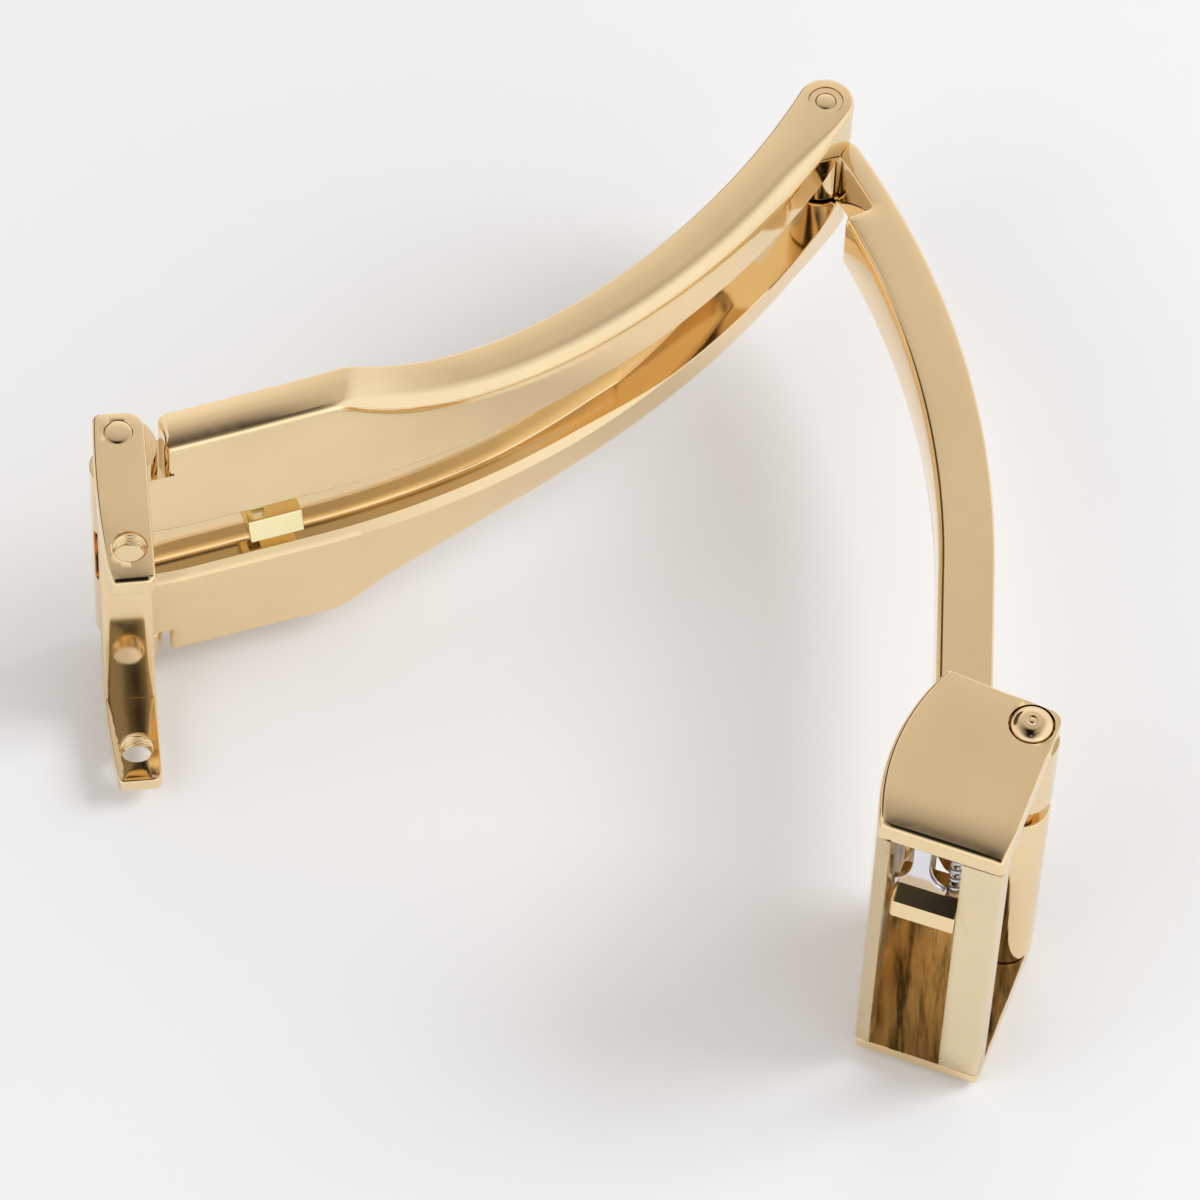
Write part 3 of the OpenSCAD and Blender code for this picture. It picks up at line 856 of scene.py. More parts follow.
def link_plate(name, node, z0, near):
    z1 = z0 + PLATE_T
    outline = corner(left_edge(0.9), L_A, L_B, 0.25, 8) + corner(L_A, L_B, L_C, 0.8, 10) + corner(L_B, L_C, L_D, 0.35, 8)
    outline += corner(L_C, L_D, left_edge(0.1), 0.3, 8) + [tuple(left_edge(0.06 + 0.88 * i / 40)) for i in range(41)]

    def fil(q):
        left = float((q - L_A) @ L_OUT) > -0.22
        if q[1] < -5.35:
            return (0.26, 0.22)
        if left:
            return (0.16, 0.20)
        return (0.10, 0.12)

    small = lambda q: (0.10, 0.10)

    def fall(q):
        k = np.clip((-1.4 - q[:, 1]) / 4.4, 0, 1)
        return 0.17 * k * k

    zt = (lambda q: z1 - fall(q)) if near else z1
    zb = z0 if near else (lambda q: z0 + fall(q))
    prof = [(0.62, None), (0.602, z1 - 0.02), (0.6, z1 - 0.06), (0.6, z0 + 0.06), (0.602, z0 + 0.02), (0.62, None)]
    ob = prism(
        name, outline, zb, zt, fb=small if near else fil, ft=fil if near else small, crown=(0.03, 0.8), seg=5, grid=0.22, step=0.2,
        holes=[(LP, prof), (SCREW, [(0.76, None), (0.72, z1 - 0.12), (0.72, z0 + 0.12), (0.76, None)])],
    )
    # swap the plain wall of the screw hole for a thread
    bm = bmesh.new()
    bm.from_mesh(ob.data)
    wall = [f for f in bm.faces if all(abs(math.hypot(v.co.x - SCREW[0], v.co.y - SCREW[1]) - 0.72) < 1e-3 for v in f.verts)]
    bmesh.ops.delete(bm, geom=wall, context="FACES")
    rows = []
    for xy, z in thread(SCREW, 0.72, 0.085, 0.21, z1 - 0.12, z0 + 0.12):
        rows.append([bm.verts.new((x, y, z)) for x, y in xy])
    for r0, r1 in zip(rows[:-1], rows[1:]):
        for i in range(len(r0)):
            j = (i + 1) % len(r0)
            bm.faces.new((r0[i], r0[j], r1[j], r1[i]))
    bmesh.ops.remove_doubles(bm, verts=bm.verts, dist=1e-4)
    bmesh.ops.recalc_face_normals(bm, faces=bm.faces)
    left = sum(1 for e in bm.edges if len(e.link_faces) != 2)
    if left:
        print("OPEN EDGES", name, left)
    bm.to_mesh(ob.data)
    bm.free()
    return done(ob, gold, "end_link_body", [node], smooth=34)


link_plate("near_link_plate_v", "near_link_plate", ZM + LINK_W / 2 - PLATE_T, True)
link_plate("far_link_plate_v", "far_link_plate", ZM - LINK_W / 2, False)


def link_bridge():
    outline = corner((-20.69, -1.66), (-20.93, 0.12), (-18.76, 0.45), 0.05, 3) + corner((-20.93, 0.12), (-18.76, 0.45), (-18.55, -1.34), 0.05, 3)
    outline += corner((-18.76, 0.45), (-18.55, -1.34), (-20.69, -1.66), 0.16, 8) + corner((-18.55, -1.34), (-20.69, -1.66), (-20.93, 0.12), 0.16, 8)
    lo, hi = ZM - LINK_W / 2 + PLATE_T, ZM + LINK_W / 2 - PLATE_T
    ob = prism("link_bridge_v", outline, lo, hi, fb=(0.006, 0.006), ft=(0.006, 0.006), seg=1, grid=0.5, step=0.3, belly=lambda q: 0.0, belly_n=10)
    return done(ob, gold, "end_link_body", ["link_bridge"], smooth=30)


link_bridge()


def bosses():
    """Round bosses between plates and barrel, cut flat along the plates' left edge and in front of the bridge."""
    ax, ay = np.array([0.147, -0.989]), np.array([0.989, 0.147])
    edge = [tuple(left_edge(-0.1 + 1.2 * i / 24) - 0.01 * L_OUT) for i in range(25)]
    side = edge + [tuple(left_edge(1.1) + 4 * L_OUT), tuple(left_edge(-0.1) + 4 * L_OUT)]
    front = [tuple(LP + q[0] * ax + q[1] * ay) for q in ((1.41, -4), (1.41, 4), (4, 4), (4, -4))]
    for name, a, b, near in (("near_boss", ZM + KN_H + 0.05, ZM + LINK_W / 2 - PLATE_T, True), ("far_boss", ZM - LINK_W / 2 + PLATE_T, ZM - KN_H - 0.05, False)):
        lo = rounding(1.57, 0.13 if near else 0.005, a, 5, -1)
        hi = list(reversed(rounding(1.57, 0.005 if near else 0.13, b, 5)))
        ob = revolve(name + "_v", LP, [(0.603, a)] + lo + hi + [(0.603, b)])
        for cut in (side, front):
            boolean(ob, flat_extrude("cut", cut, a - 1, b + 1))
        done(ob, gold, "end_link_body", [name], smooth=34)


bosses()


def link_pin():
    q = 0.598
    hi, lo = ZM + LINK_W / 2, ZM - LINK_W / 2
    top = [(q, hi - 0.075)] + [(q - 0.05 * (1 - math.cos(rad(t))), hi - 0.075 + 0.07 * math.sin(rad(t))) for t in (25, 50, 75)]
    top += [((q - 0.06) * math.cos(rad(t)), hi - 0.005 + 0.045 * math.sin(rad(t))) for t in (8, 20, 35, 50, 65, 80)] + [(0, hi + 0.04)]
    bot = [(r, 2 * ZM - z) for r, z in reversed(top)]
    done(revolve("link_pin_v", LP, bot + top), gold_pin, "end_link_body", ["link_pin"])


link_pin()


# ------------------------------------------------------------------ narrow blade
BR, BAR_T, BAR_W, NECK_T = 41.0, 2.35, 3.2, 0.95
BC = np.array([-24.65, 1.7])
B_NECK = 27.4


def narrow_blade():
    kn = 1.15
    # outline, clockwise from the knuckle down the outer face, round the foot and back up the inner face
    def polar(r, b):
        return (BC[0] + r * math.cos(rad(b)), BC[1] + r * math.sin(rad(b)))

    # angle on the outer arc where the knuckle's circle starts
    b_k = 32.1
    outer = [polar(BR, b_k - b_k * i / 130) for i in range(131)]
    straight = [(16.35, y) for y in np.linspace(1.4, -8.4, 34)]
    foot = [(16.35, -8.6)] + corner((16.35, -8.6), (16.75, -9.55), (17.3, -9.8), 0.3, 4)
    ring = arc(CP, 1.2, 96, -92, 44)
    low = [(16.6, -12.06), (15.75, -12.0)] + corner((15.75, -12.0), (14.75, -11.6), (14.0, -10.6), 0.8, 8)
    up = [(14.0, y) for y in np.linspace(-10.2, 1.4, 40)]
    inner = [polar(BR - BAR_T, B_NECK * i / 110) for i in range(111)]
    p_in, p_nk = polar(BR - BAR_T, B_NECK), polar(BR - NECK_T, B_NECK)
    step = corner(inner[-2], p_in, p_nk, 0.22, 5)
    neck_in = corner(p_in, p_nk, polar(BR - NECK_T, B_NECK + 1.2), 0.28, 5) + [polar(BR - NECK_T, B_NECK + 0.8 + 0.15 * i) for i in range(24)]
    neck_in = [q for q in neck_in if math.hypot(q[0] - FP[0], q[1] - FP[1]) > kn]
    o0 = np.array(outer[0])
    s = math.degrees(math.atan2(*(o0 - FP)[::-1]))
    f = math.degrees(math.atan2(*(np.array(neck_in[-1]) - FP)[::-1]))
    while f < s + 90:
        f += 360
    k_arc = arc(FP, kn, f - 3, s + 4, 60)
    outline = k_arc + outer + straight + foot + ring + low + up + inner[:-2] + step + neck_in

    def fil(q):
        d = np.linalg.norm(q - BC)
        on_inner = (q[1] > 1.7 and abs(d - (BR - BAR_T)) < 0.12 and math.degrees(math.atan2(q[1] - BC[1], q[0] - BC[0])) < B_NECK + 0.2) or (
            q[1] <= 1.7 and abs(q[0] - 14.0) < 0.12
        )
        if on_inner:
            return (0.36, 0.42)
        on_outer = (q[1] > 1.7 and abs(d - BR) < 0.06) or (q[1] <= 1.7 and abs(q[0] - 16.35) < 0.06)
        if on_outer:
            return (0.12, 0.12)
        return (0.09, 0.09)

    ob = prism("narrow_blade_v", outline, ZM - BAR_W / 2, ZM + BAR_W / 2, fb=fil, ft=fil, crown=(0.02, 0.7), seg=4, grid=0.26, step=0.22)
    br = 1.2
    barrel = revolve("barrel2", CP, [(0.66, 1.1)] + rounding(br, 0.09, 1.1, 4, -1) + list(reversed(rounding(br, 0.09, 11.45, 4))) + [(0.66, 11.45)])
    boolean(ob, barrel, "UNION")
    boolean(ob, revolve("bore2", CP, [(0, 0), (0.655, 0), (0.655, 13), (0, 13)]))
    boolean(ob, revolve("bore3", FP, [(0, 2), (0.80, 2), (0.80, 15), (0, 15)]))
    box = [(13.5, -8.4), (14.85, -8.4), (14.85, -4.0), (13.5, -4.0)]
    pocket = prism("pocket", box, ZM - 1.0, ZM + 1.0, fb=(0.12, 0.12), ft=(0.12, 0.12), seg=3, grid=1.5, step=1.5)
    boolean(ob, pocket)
    return done(ob, gold, "narrow_blade_body", ["narrow_blade"], smooth=30)


narrow_blade()


# ------------------------------------------------------------------ cover
CA, CB = np.array([14.17, -8.37]), np.array([18.79, -10.42])
CC, CD = np.array([16.49, -17.66]), np.array([11.55, -16.15])
DC, DOME_R, WALL_T = np.array([21.5, -15.24]), 10.05, 0.55
U = (CC - CD) / np.linalg.norm(CC - CD)
V = np.array([-U[1], U[0]])
W_U0, W_U1 = 0.45, 3.45


def uv(u, v):
    return CD + u * U + v * V


def cheek(name, node, z0, near):
    z1 = z0 + 1.0
    outline = arc(DC, DOME_R, 184.6, 137.4, 60) + corner(CA, CB, CC, 0.55, 10) + corner(CB, CC, CD, 0.26, 7)
    low = np.array(outline[0])

    def fil(q):
        rel = q - CD
        v = float(rel @ V)
        u = float(rel @ U)
        d = np.linalg.norm(q - DC)
        if abs(d - DOME_R) < 0.05 and u < 1.5:
            k = 1 - min(1.0, max(0.0, (q[1] - low[1]) / 7.8))
            return (0.17 + 0.14 * k**0.8, 0.20 + 0.18 * k)
        if v < 0.3 and u < 4.7:
            return (0.26, 0.36)
        # right edge: narrow beside the recess, wider towards the lower corner
        k = min(1.0, max(0.0, (1.6 - v) / 1.4))
        m = min(1.0, max(0.0, (np.linalg.norm(q - CP) - 1.15) / 0.6))
        return (0.018 + 0.082 * m + 0.14 * k, 0.03 + 0.08 * m + 0.22 * k)

    def roll(q):
        v = (q - CD) @ V
        return 0.19 * np.clip(1 - v / 2.3, 0, 1) ** 3

    small = lambda q: (0.05, 0.05)
    def ring(q):
        u, v = float((q - CD) @ U), float((q - CD) @ V)
        k = min(1.0, max(0.0, (min(u - 0.75, 4.35 - u)) / 0.5)) if v < 0.2 else 0.0
        return 0.004 + 0.12 * k

    rec = 0.95
    if near:
        prof = [(rec + 0.01, None), (rec + 0.003, z1 - 0.006), (rec, z1 - 0.02), (rec, z1 - 0.38), (rec - 0.03, z1 - 0.42), (0.602, z1 - 0.42), (0.602, z0 + 0.03), (0.62, None)]
    else:
        prof = [(0.62, None), (0.602, z1 - 0.03), (0.602, z0 + 0.42), (rec - 0.03, z0 + 0.42), (rec, z0 + 0.38), (rec, z0 + 0.02), (rec + 0.003, z0 + 0.006), (rec + 0.01, None)]
    ob = prism(
        name, outline, z0 if near else (lambda q: z0 + roll(q)), (lambda q: z1 - roll(q)) if near else z1, fb=small if near else fil, ft=fil if near else small, crown=(0.02, 0.9) if near else (0.0, 0.0), crown_b=(0.0, 0.0) if near else (0.02, 0.9),
        seg=6, grid=0.19, step=0.16, holes=[(CP, prof)], clear=[(low, 0.34)], extra=ring,
    )
    return done(ob, gold_cover, "cover_body", [node], smooth=34)


cheek("near_cheek_v", "near_cheek", 16.2, True)
cheek("far_cheek_v", "far_cheek", 0.0, False)


def outer_wall():
    outline = arc(DC, DOME_R, 182.66, 137.4, 80) + arc(DC, DOME_R - WALL_T, 137.4, 182.66, 80)
    ob = prism("outer_wall_v", outline, 1.0, 16.2, fb=(0.004, 0.004), ft=(0.004, 0.004), seg=1, grid=0.5, step=0.25)
    x0, x1, y0, y1 = 12.9, 16.9, -11.0, -7.0
    h = BAR_W / 2 + 0.3
    cut = prism("cut", [(x0, y0), (x1, y0), (x1, y1), (x0, y1)], ZM - h, ZM + h, fb=(0.25, 0.25), ft=(0.25, 0.25), seg=4, grid=2, step=2)
    boolean(ob, cut)
    return done(ob, gold_cover, "cover_body", ["outer_wall"], smooth=30, weighted=False)


outer_wall()


def end_frame():
    """Lip between the dome and the window."""
    full = arc(DC, DOME_R, 184.6, 182.66, 6)[1:] + [tuple(DC + (DOME_R - WALL_T) * np.array([math.cos(rad(182.66)), math.sin(rad(182.66))])), tuple(uv(0.52, 0.62)), tuple(uv(W_U0, 0.03)), tuple(uv(W_U0 - 0.03, 0))]
    ob = prism("end_frame_v", full, 1.0, 16.2, fb=(0.006, 0.006), ft=(0.006, 0.006), seg=1, grid=0.5, step=0.25, belly=lambda q: 0.0, belly_n=12)
    return done(ob, gold_lip, "cover_body", ["end_frame"], smooth=40)


def inner_rail():
    rim = corner(CB, CC, CD, 0.2, 8)
    out = [tuple(uv(W_U1, 0.04)), tuple(uv(W_U1, 0.95)), tuple(CC + 0.97 * (CB - CC) / np.linalg.norm(CB - CC))] + rim + [tuple(uv(W_U1 + 0.05, 0))]
    ob = prism("inner_rail_v", out, 1.02, 16.19, fb=(0.02, 0.02), ft=(0.03, 0.03), seg=2, grid=0.5, step=0.25, belly=lambda q: 0.0, belly_n=12)
    return done(ob, gold_frame, "cover_body", ["inner_rail"], smooth=40)


end_frame()
inner_rail()


def knuckle():
    lo, hi = 12.3, 16.2
    prof = [(0.602, lo)] + rounding(1.2, 0.1, lo, 5, -1) + [(1.2, hi - 0.01), (0.602, hi - 0.01)]
    done(revolve("near_knuckle_v", CP, prof), gold, "cover_body", ["near_knuckle"])


knuckle()


def cover_pin():
    z = 17.49
    # dome that stands above the cheek, with a small turned ring in its middle
    top = [(0.6, 16.78), (0.88, 16.78), (0.90, 16.80), (0.90, 17.05)]
    top += [(0.897, 17.08), (0.89, 17.11), (0.875, 17.165), (0.85, 17.22), (0.82, 17.266), (0.78, 17.31), (0.73, 17.352), (0.68, 17.387), (0.63, 17.417), (0.58, 17.442), (0.53, 17.462), (0.48, 17.477), (0.43, 17.486), (0.38, 17.489)]
    top += [(0.27, z), (0.235, z + 0.004), (0.205, z - 0.004), (0.18, z - 0.022), (0.15, z - 0.026), (0.12, z - 0.012), (0.07, z), (0, z + 0.003)]
    bot = [(0.0, 0.05), (0.3, 0.055), (0.5, 0.09), (0.70, 0.14), (0.83, 0.22), (0.90, 0.31), (0.90, 0.40), (0.88, 0.42), (0.6, 0.42)]
    done(revolve("cover_pin_v", CP, bot + top, n=120), gold_pin, "cover_body", ["cover_pin"])


cover_pin()


# ------------------------------------------------------------------ latch
BAR_Z, BAR_R, BAR_BACK = 11.6, 0.65, 1.95
BAR_U0, BAR_U1 = 0.66, 3.38
TG_U, TG_V, SEAT = 1.6, 1.05, 0.25
SP_U, SP_V, POST_R = 3.02, 1.5, 0.14
COIL_R, WIRE_R, TURNS = 0.31, 0.09, 7
IN_COVER = Matrix.Translation((CD[0], CD[1], 0)) @ Matrix.Rotation(math.atan2(U[1], U[0]), 4, "Z")


def latch_bar():
    # section in (v, z): a wide sloping face on top, a flat front and a lip that reaches down
    raw = [((BAR_BACK, 12.25), 0.0), ((0.95, 12.25), 0.12), ((0.16, 11.795), 0.10), ((0.1, 10.85), 0.07), ((0.85, 10.85), 0.03), ((0.85, 10.95), 0.03), ((BAR_BACK, 10.95), 0.0)]
    sec = []
    for i, (q, r) in enumerate(raw):
        if r == 0.0:
            sec.append(q)
        else:
            sec += corner(raw[i - 1][0], q, raw[i + 1][0], r, 5)
    verts, faces = [], []
    us = [BAR_U0, BAR_U0 + 0.06, BAR_U0 + 0.16, BAR_U1 - 0.08, BAR_U1]
    inset = [0.10, 0.03, 0.0, 0.0, 0.03]
    cen = np.array([0.9, BAR_Z - 0.1])
    rows = []
    for u, k in zip(us, inset):
        row = []
        for v, z in sec:
            d = cen - np.array([v, z])
            d = d / np.linalg.norm(d) * k
            row.append((u, v + d[0], z + d[1]))
        rows.append(row)
    ob = loft("latch_bar_v", rows)
    ob.data.transform(IN_COVER)
    slot = flat_extrude("slot", [(TG_U - 1.12, TG_V - 0.15), (TG_U + 1.12, TG_V - 0.15), (TG_U + 1.12, TG_V + 0.15), (TG_U - 1.12, TG_V + 0.15)], BAR_Z + BAR_R - SEAT, BAR_Z + 2)
    slot.data.transform(IN_COVER)
    boolean(ob, slot)
    c = uv(SP_U, SP_V)
    boolean(ob, revolve("b", c, [(0, 8), (POST_R + 0.06, 8), (POST_R + 0.06, 14), (0, 14)], n=32))
    return done(ob, gold, "latch_body", ["latch_bar"], smooth=34)


def latch_tongue():
    foot = BAR_Z + BAR_R - SEAT
    out = [(-1.12, foot), (1.12, foot), (1.12, foot + SEAT + 0.16)]
    out += [(1.12 - 0.76 * math.sin(rad(t)), foot + SEAT + 1.7 - 1.5 * math.cos(rad(t))) for t in range(3, 91, 3)]
    out += [(0.36, 15.56), (0.32, 15.6)]
    out = out + [(-x, z) for x, z in reversed(out[2:])]
    n = len(out)
    pts = np.array(out)
    nn = outward(pts)
    if area(pts) < 0:
        nn = -nn
    r = 0.06
    rows = []
    for v, off in ((-0.15, r), (-0.15 + r * 0.3, r * 0.3), (-0.15 + r, 0), (0.15 - r, 0), (0.15 - r * 0.3, r * 0.3), (0.15, r)):
        q = pts - nn * off
        rows.append([(TG_U + a[0], TG_V + v, a[1]) for a in q])
    ob = loft("latch_tongue_v", rows)
    ob.data.transform(IN_COVER)
    return done(ob, steel_pol, "latch_body", ["latch_tongue"], smooth=40)


def latch_spring():
    c = uv(SP_U, SP_V)
    z0, z1 = BAR_Z + BAR_R + 0.02, 16.18
    n, m = 40, 12
    steps = TURNS * n
    rows = []
    for i in range(steps + 1):
        a = 2 * math.pi * i / n
        f = i / steps
        # the first and last half turns lie flat, as ground ends do
        lead = 0.5 / TURNS
        g = 0.0 if f < lead else (1.0 if f > 1 - lead else (f - lead) / (1 - 2 * lead))
        z = z0 + WIRE_R + (z1 - z0 - 2 * WIRE_R) * g
        o = np.array([c[0] + COIL_R * math.cos(a), c[1] + COIL_R * math.sin(a), z])
        rows.append([tuple(o + WIRE_R * np.array([math.cos(b) * math.cos(a), math.cos(b) * math.sin(a), math.sin(b)])) for b in (2 * math.pi * k / m for k in range(m))])
    ob = loft("latch_spring_v", rows)
    done(ob, steel, "cover_body", ["latch_spring"], weighted=False)
    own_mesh(ob)


def spring_post():
    c = uv(SP_U, SP_V)
    z = BAR_Z
    prof = [(0, z - 1.0), (0.26, z - 1.0), (0.3, z - 0.96), (0.3, z - 0.77), (0.27, z - 0.73), (POST_R, z - 0.73), (POST_R, 16.2), (0, 16.2)]
    done(revolve("spring_post_v", c, prof, n=48), steel, "cover_body", ["spring_post"])


latch_bar()
latch_tongue()
latch_spring()
spring_post()


# ------------------------------------------------------------------ stage, light, camera
def stage():
    bpy.ops.mesh.primitive_plane_add(size=6.0, location=(0, 0, -0.00003))
    fl = bpy.context.object
    fl.name = "floor"
    m, nt, b = nodes_of("floor_paper")
    tc = nt.nodes.new("ShaderNodeTexCoord")
    n = noise(nt, 18.0, 3.0, 0.5, tc)
    r = ramp(nt, n.outputs["Fac"], [(0.35, (0.895, 0.897, 0.912)), (0.65, (0.905, 0.907, 0.920))])
    nt.links.new(r.outputs["Color"], b.inputs["Base Color"])
    b.inputs["Roughness"].default_value = 0.75
    b.inputs["Specular IOR Level"].default_value = 0.15
    fl.data.materials.append(m)


stage()


def world():
    w = bpy.data.worlds.new("studio")
    bpy.context.scene.world = w
    w.use_nodes = True
    nt = w.node_tree
    nt.nodes.clear()
    out = nt.nodes.new("ShaderNodeOutputWorld")
    bg = nt.nodes.new("ShaderNodeBackground")
    nt.links.new(bg.outputs[0], out.inputs[0])
    tc = nt.nodes.new("ShaderNodeTexCoord")
    sep = nt.nodes.new("ShaderNodeSeparateXYZ")
    nt.links.new(tc.outputs["Generated"], sep.inputs[0])
    # behind: soft light, stronger towards the horizon
    fr = span(nt, sep.outputs["Y"], -1.0, 1.0, 0.0, 1.0)
    back = ramp(
        nt, fr.outputs["Result"],
        [(0.0, (0.52, 0.50, 0.48)), (0.46, (0.54, 0.51, 0.48)), (0.62, (0.56, 0.52, 0.48)), (0.72, (0.62, 0.575, 0.53)), (0.80, (0.74, 0.69, 0.645)), (0.90, (1.02, 0.98, 0.95)), (1.0, (1.1, 1.08, 1.06))],
    )

    def mixed(fac, c1, c2):
        m = nt.nodes.new("ShaderNodeMixRGB")
        nt.links.new(fac, m.inputs["Fac"])
        nt.links.new(c1, m.inputs["Color1"])
        if isinstance(c2, tuple):
            m.inputs["Color2"].default_value = (*c2, 1)
        else:
            nt.links.new(c2, m.inputs["Color2"])
        return m.outputs["Color"]

    def product(p, q):
        m = nt.nodes.new("ShaderNodeMath")
        m.operation = "MULTIPLY"
        nt.links.new(p, m.inputs[0])
        nt.links.new(q, m.inputs[1])
        return m.outputs[0]

    # in front: bright low down, all the way across
    low = span(nt, sep.outputs["Z"], 0.76, 0.58, 0.0, 1.0)
    front = span(nt, sep.outputs["Y"], 0.05, -0.15, 0.0, 1.0)
    col = mixed(product(low.outputs["Result"], front.outputs["Result"]), back.outputs["Color"], (1.04, 1.03, 1.02))
    # right and left: bright walls of the light tent
    sx = span(nt, sep.outputs["X"], 0.45, 0.80, 0.0, 1.0)
    col = mixed(sx.outputs["Result"], col, (1.05, 1.07, 1.10))
    sl = span(nt, sep.outputs["X"], -0.62, -0.9, 0.0, 1.0)
    col = mixed(sl.outputs["Result"], col, (0.95, 0.93, 0.97))

    # dark opening of the tent in front and above, with a narrow dark gap that runs off to the right
    def vec(op, p, q):
        m = nt.nodes.new("ShaderNodeVectorMath")
        m.operation = op
        nt.links.new(p, m.inputs[0])
        if isinstance(q, tuple):
            m.inputs[1].default_value = q
        elif q is not None:
            nt.links.new(q, m.inputs[1])
        return m

    c0, c1 = np.array([0.0, -0.569, 0.822]), np.array([0.46, -0.16, 0.87])
    e = c1 - c0
    rel = vec("SUBTRACT", tc.outputs["Generated"], tuple(float(v) for v in c0))
    dot = vec("DOT_PRODUCT", rel.outputs[0], tuple(float(v) for v in e / float(e @ e)))
    t = span(nt, dot.outputs["Value"], 0.0, 1.0, 0.0, 1.0)
    on = nt.nodes.new("ShaderNodeVectorMath")
    on.operation = "SCALE"
    on.inputs[0].default_value = tuple(float(v) for v in e)
    nt.links.new(t.outputs["Result"], on.inputs["Scale"])
    gap = vec("LENGTH", vec("SUBTRACT", rel.outputs[0], on.outputs[0]).outputs[0], None)
    near = vec("LENGTH", rel.outputs[0], None)
    tail = span(nt, gap.outputs["Value"], 0.045, 0.12, 1.0, 0.0)
    tone = ramp(nt, t.outputs["Result"], [(0.0, (0.03, 0.03, 0.03)), (0.60, (0.03, 0.03, 0.03)), (0.75, (0.42, 0.30, 0.14)), (0.9, (0.28, 0.19, 0.08)), (1.0, (0.45, 0.40, 0.28))])
    col = mixed(tail.outputs["Result"], col, tone.outputs["Color"])

    # the opening is long: it reaches up to the zenith and fades out softly, more narrowly across than along
    d2 = np.array([0.0, 0.569, 0.178])
    dot2 = vec("DOT_PRODUCT", rel.outputs[0], tuple(float(v) for v in d2 / float(d2 @ d2)))
    t2 = span(nt, dot2.outputs["Value"], 0.0, 1.0, 0.0, 1.0)
    on2 = nt.nodes.new("ShaderNodeVectorMath")
    on2.operation = "SCALE"
    on2.inputs[0].default_value = tuple(float(v) for v in d2)
    nt.links.new(t2.outputs["Result"], on2.inputs["Scale"])
    off2 = vec("SUBTRACT", rel.outputs[0], on2.outputs[0])
    # narrower on the right than on the left
    so = nt.nodes.new("ShaderNodeSeparateXYZ")
    nt.links.new(off2.outputs[0], so.inputs[0])
    sides = []
    for factor in (1.35, -0.62):
        m = nt.nodes.new("ShaderNodeMath")
        m.operation = "MULTIPLY"
        m.inputs[1].default_value = factor
        nt.links.new(so.outputs["X"], m.inputs[0])
        sides.append(m)
    across = nt.nodes.new("ShaderNodeMath")
    across.operation = "MAXIMUM"
    nt.links.new(sides[0].outputs[0], across.inputs[0])
    nt.links.new(sides[1].outputs[0], across.inputs[1])
    wide = nt.nodes.new("ShaderNodeCombineXYZ")
    nt.links.new(across.outputs[0], wide.inputs["X"])
    nt.links.new(so.outputs["Y"], wide.inputs["Y"])
    nt.links.new(so.outputs["Z"], wide.inputs["Z"])
    gap2 = vec("LENGTH", wide.outputs[0], None)
    shade = ramp(nt, gap2.outputs["Value"], [(0.0, (0.02, 0.02, 0.02)), (0.13, (0.02, 0.02, 0.02)), (0.18, (0.14, 0.135, 0.13)), (0.24, (0.36, 0.355, 0.35)), (0.30, (0.56, 0.555, 0.55)), (0.36, (0.72, 0.715, 0.71)), (0.46, (0.88, 0.88, 0.875)), (0.56, (1, 1, 1))])
    mul = nt.nodes.new("ShaderNodeMixRGB")
    mul.blend_type = "MULTIPLY"
    mul.inputs["Fac"].default_value = 1.0
    nt.links.new(col, mul.inputs["Color1"])
    nt.links.new(shade.outputs["Color"], mul.inputs["Color2"])
    col = mul.outputs["Color"]
    # its middle is a little lighter
    core = span(nt, near.outputs["Value"], 0.085, 0.115, 1.0, 0.0)
    col = mixed(core.outputs["Result"], col, (0.27, 0.27, 0.27))
    # a bright window low in front on the right
    win = vec("LENGTH", vec("SUBTRACT", tc.outputs["Generated"], (0.64, -0.735, 0.22)).outputs[0], None)
    glow = span(nt, win.outputs["Value"], 0.16, 0.30, 1.0, 0.0)
    col = mixed(glow.outputs["Result"], col, (1.45, 1.45, 1.45))
    # a dark edge of the tent low on the left, running on towards the back
    q0, q1 = np.array([-0.76, 0.50, 0.42]), np.array([-0.46, 0.83, 0.31])
    e3 = q1 - q0
    rel3 = vec("SUBTRACT", tc.outputs["Generated"], tuple(float(v) for v in q0))
    dot3 = vec("DOT_PRODUCT", rel3.outputs[0], tuple(float(v) for v in e3 / float(e3 @ e3)))
    t3 = span(nt, dot3.outputs["Value"], 0.0, 1.0, 0.0, 1.0)
    on3 = nt.nodes.new("ShaderNodeVectorMath")
    on3.operation = "SCALE"
    on3.inputs[0].default_value = tuple(float(v) for v in e3)
    nt.links.new(t3.outputs["Result"], on3.inputs["Scale"])
    side = vec("LENGTH", vec("SUBTRACT", rel3.outputs[0], on3.outputs[0]).outputs[0], None)
    spot = span(nt, side.outputs["Value"], 0.17, 0.28, 1.0, 0.0)
    col = mixed(spot.outputs["Result"], col, (0.08, 0.06, 0.04))
    nt.links.new(col, bg.inputs["Color"])
    bg.inputs["Strength"].default_value = 1.0


world()


def area_light(name, loc, size, power, colour, target=(0, 0, 0.006), shape="SQUARE", size_y=None):
    ld = bpy.data.lights.new(name, "AREA")
    ld.shape = "RECTANGLE" if size_y else shape
    ld.size = size
    if size_y:
        ld.size_y = size_y
    ld.energy = power
    ld.color = colour
    ob = bpy.data.objects.new(name, ld)
    bpy.context.scene.collection.objects.link(ob)
    ob.location = loc
    d = Vector(target) - Vector(loc)
    ob.rotation_euler = d.to_track_quat("-Z", "Y").to_euler()
    ob.visible_camera = False
    return ob


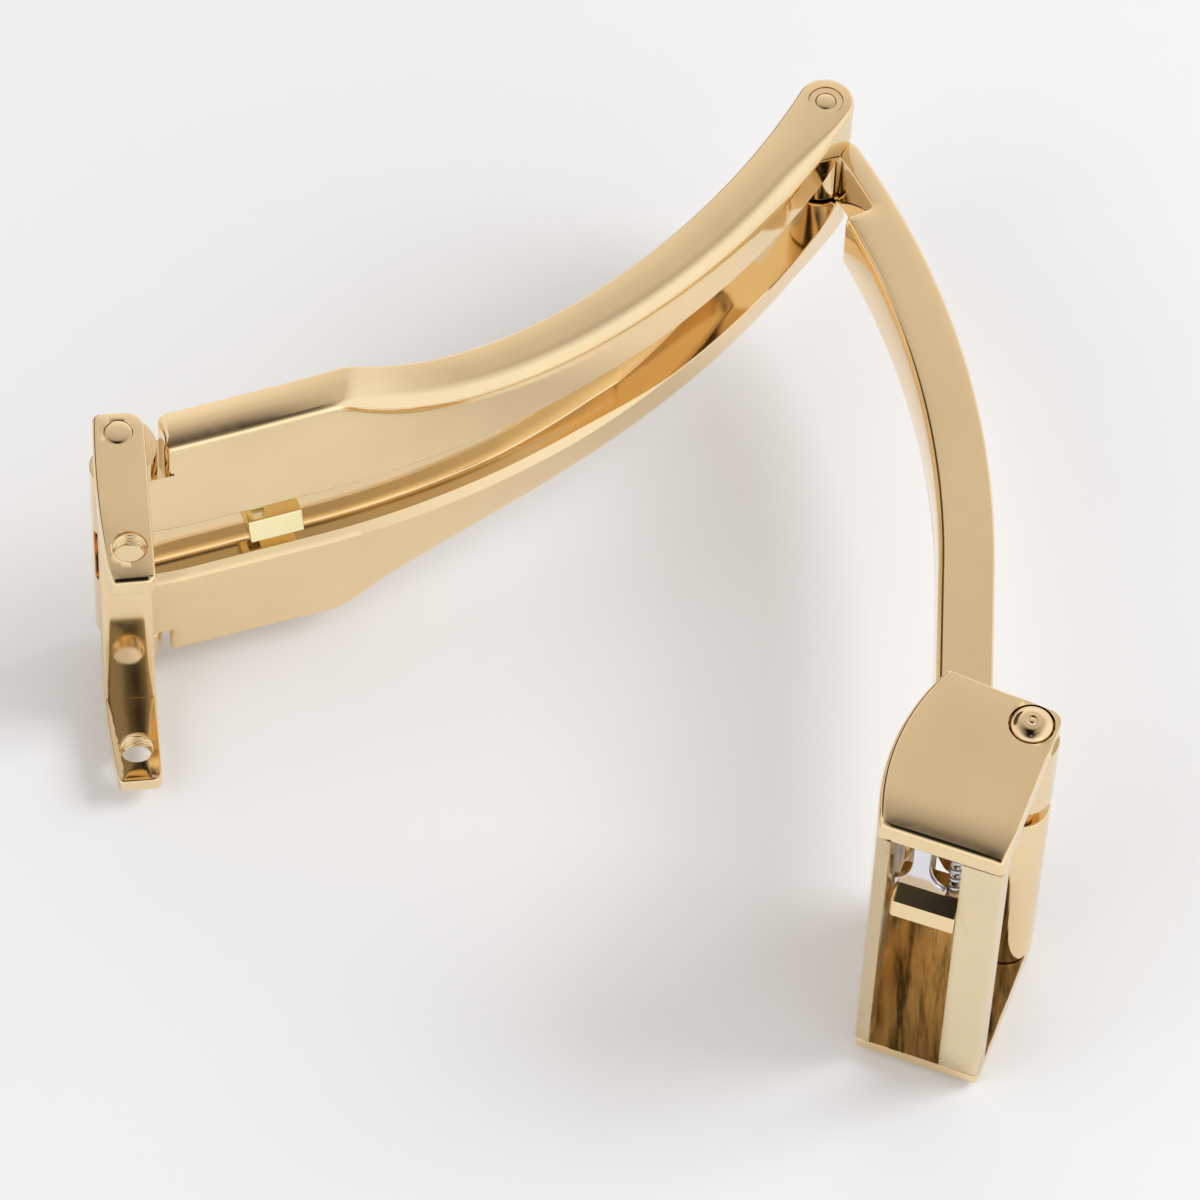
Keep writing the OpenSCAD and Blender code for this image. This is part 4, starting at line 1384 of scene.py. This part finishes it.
area_light("key_right", (0.42, 0.06, 0.40), 0.28, 1.44, (0.95, 0.98, 1.0)).visible_glossy = False
area_light("fill_left", (-0.30, -0.28, 0.42), 0.34, 0.55, (0.93, 0.98, 1.0)).visible_glossy = False
area_light("top_soft", (-0.10, 0.10, 0.60), 0.50, 0.20, (1.0, 0.97, 0.95)).visible_glossy = False


def camera():
    cd = bpy.data.cameras.new("cam")
    cd.sensor_fit = "HORIZONTAL"
    cd.sensor_width = 36.0
    cd.lens = 7800.0 / 1200.0 * 36.0
    cd.clip_start = 0.01
    cd.clip_end = 20.0
    ob = bpy.data.objects.new("cam", cd)
    bpy.context.scene.collection.objects.link(ob)
    e, r = rad(55.3), rad(2.86)
    d = Vector((0, math.cos(e), -math.sin(e)))
    r0, u0 = Vector((1, 0, 0)), Vector((0, math.sin(e), math.cos(e)))
    rt = r0 * math.cos(r) + u0 * math.sin(r)
    up = -r0 * math.sin(r) + u0 * math.cos(r)
    t = Vector((-MID[0], -MID[1], 8.6)) * 0.001
    loc = t - d * 0.325
    m = Matrix((rt, up, -d)).transposed().to_4x4()
    m.translation = loc
    ob.matrix_world = m
    bpy.context.scene.camera = ob


camera()
vs = bpy.context.scene.view_settings
vs.view_transform = "Standard"
vs.look = "None"
vs.exposure = 0.0
vs.gamma = 1.0
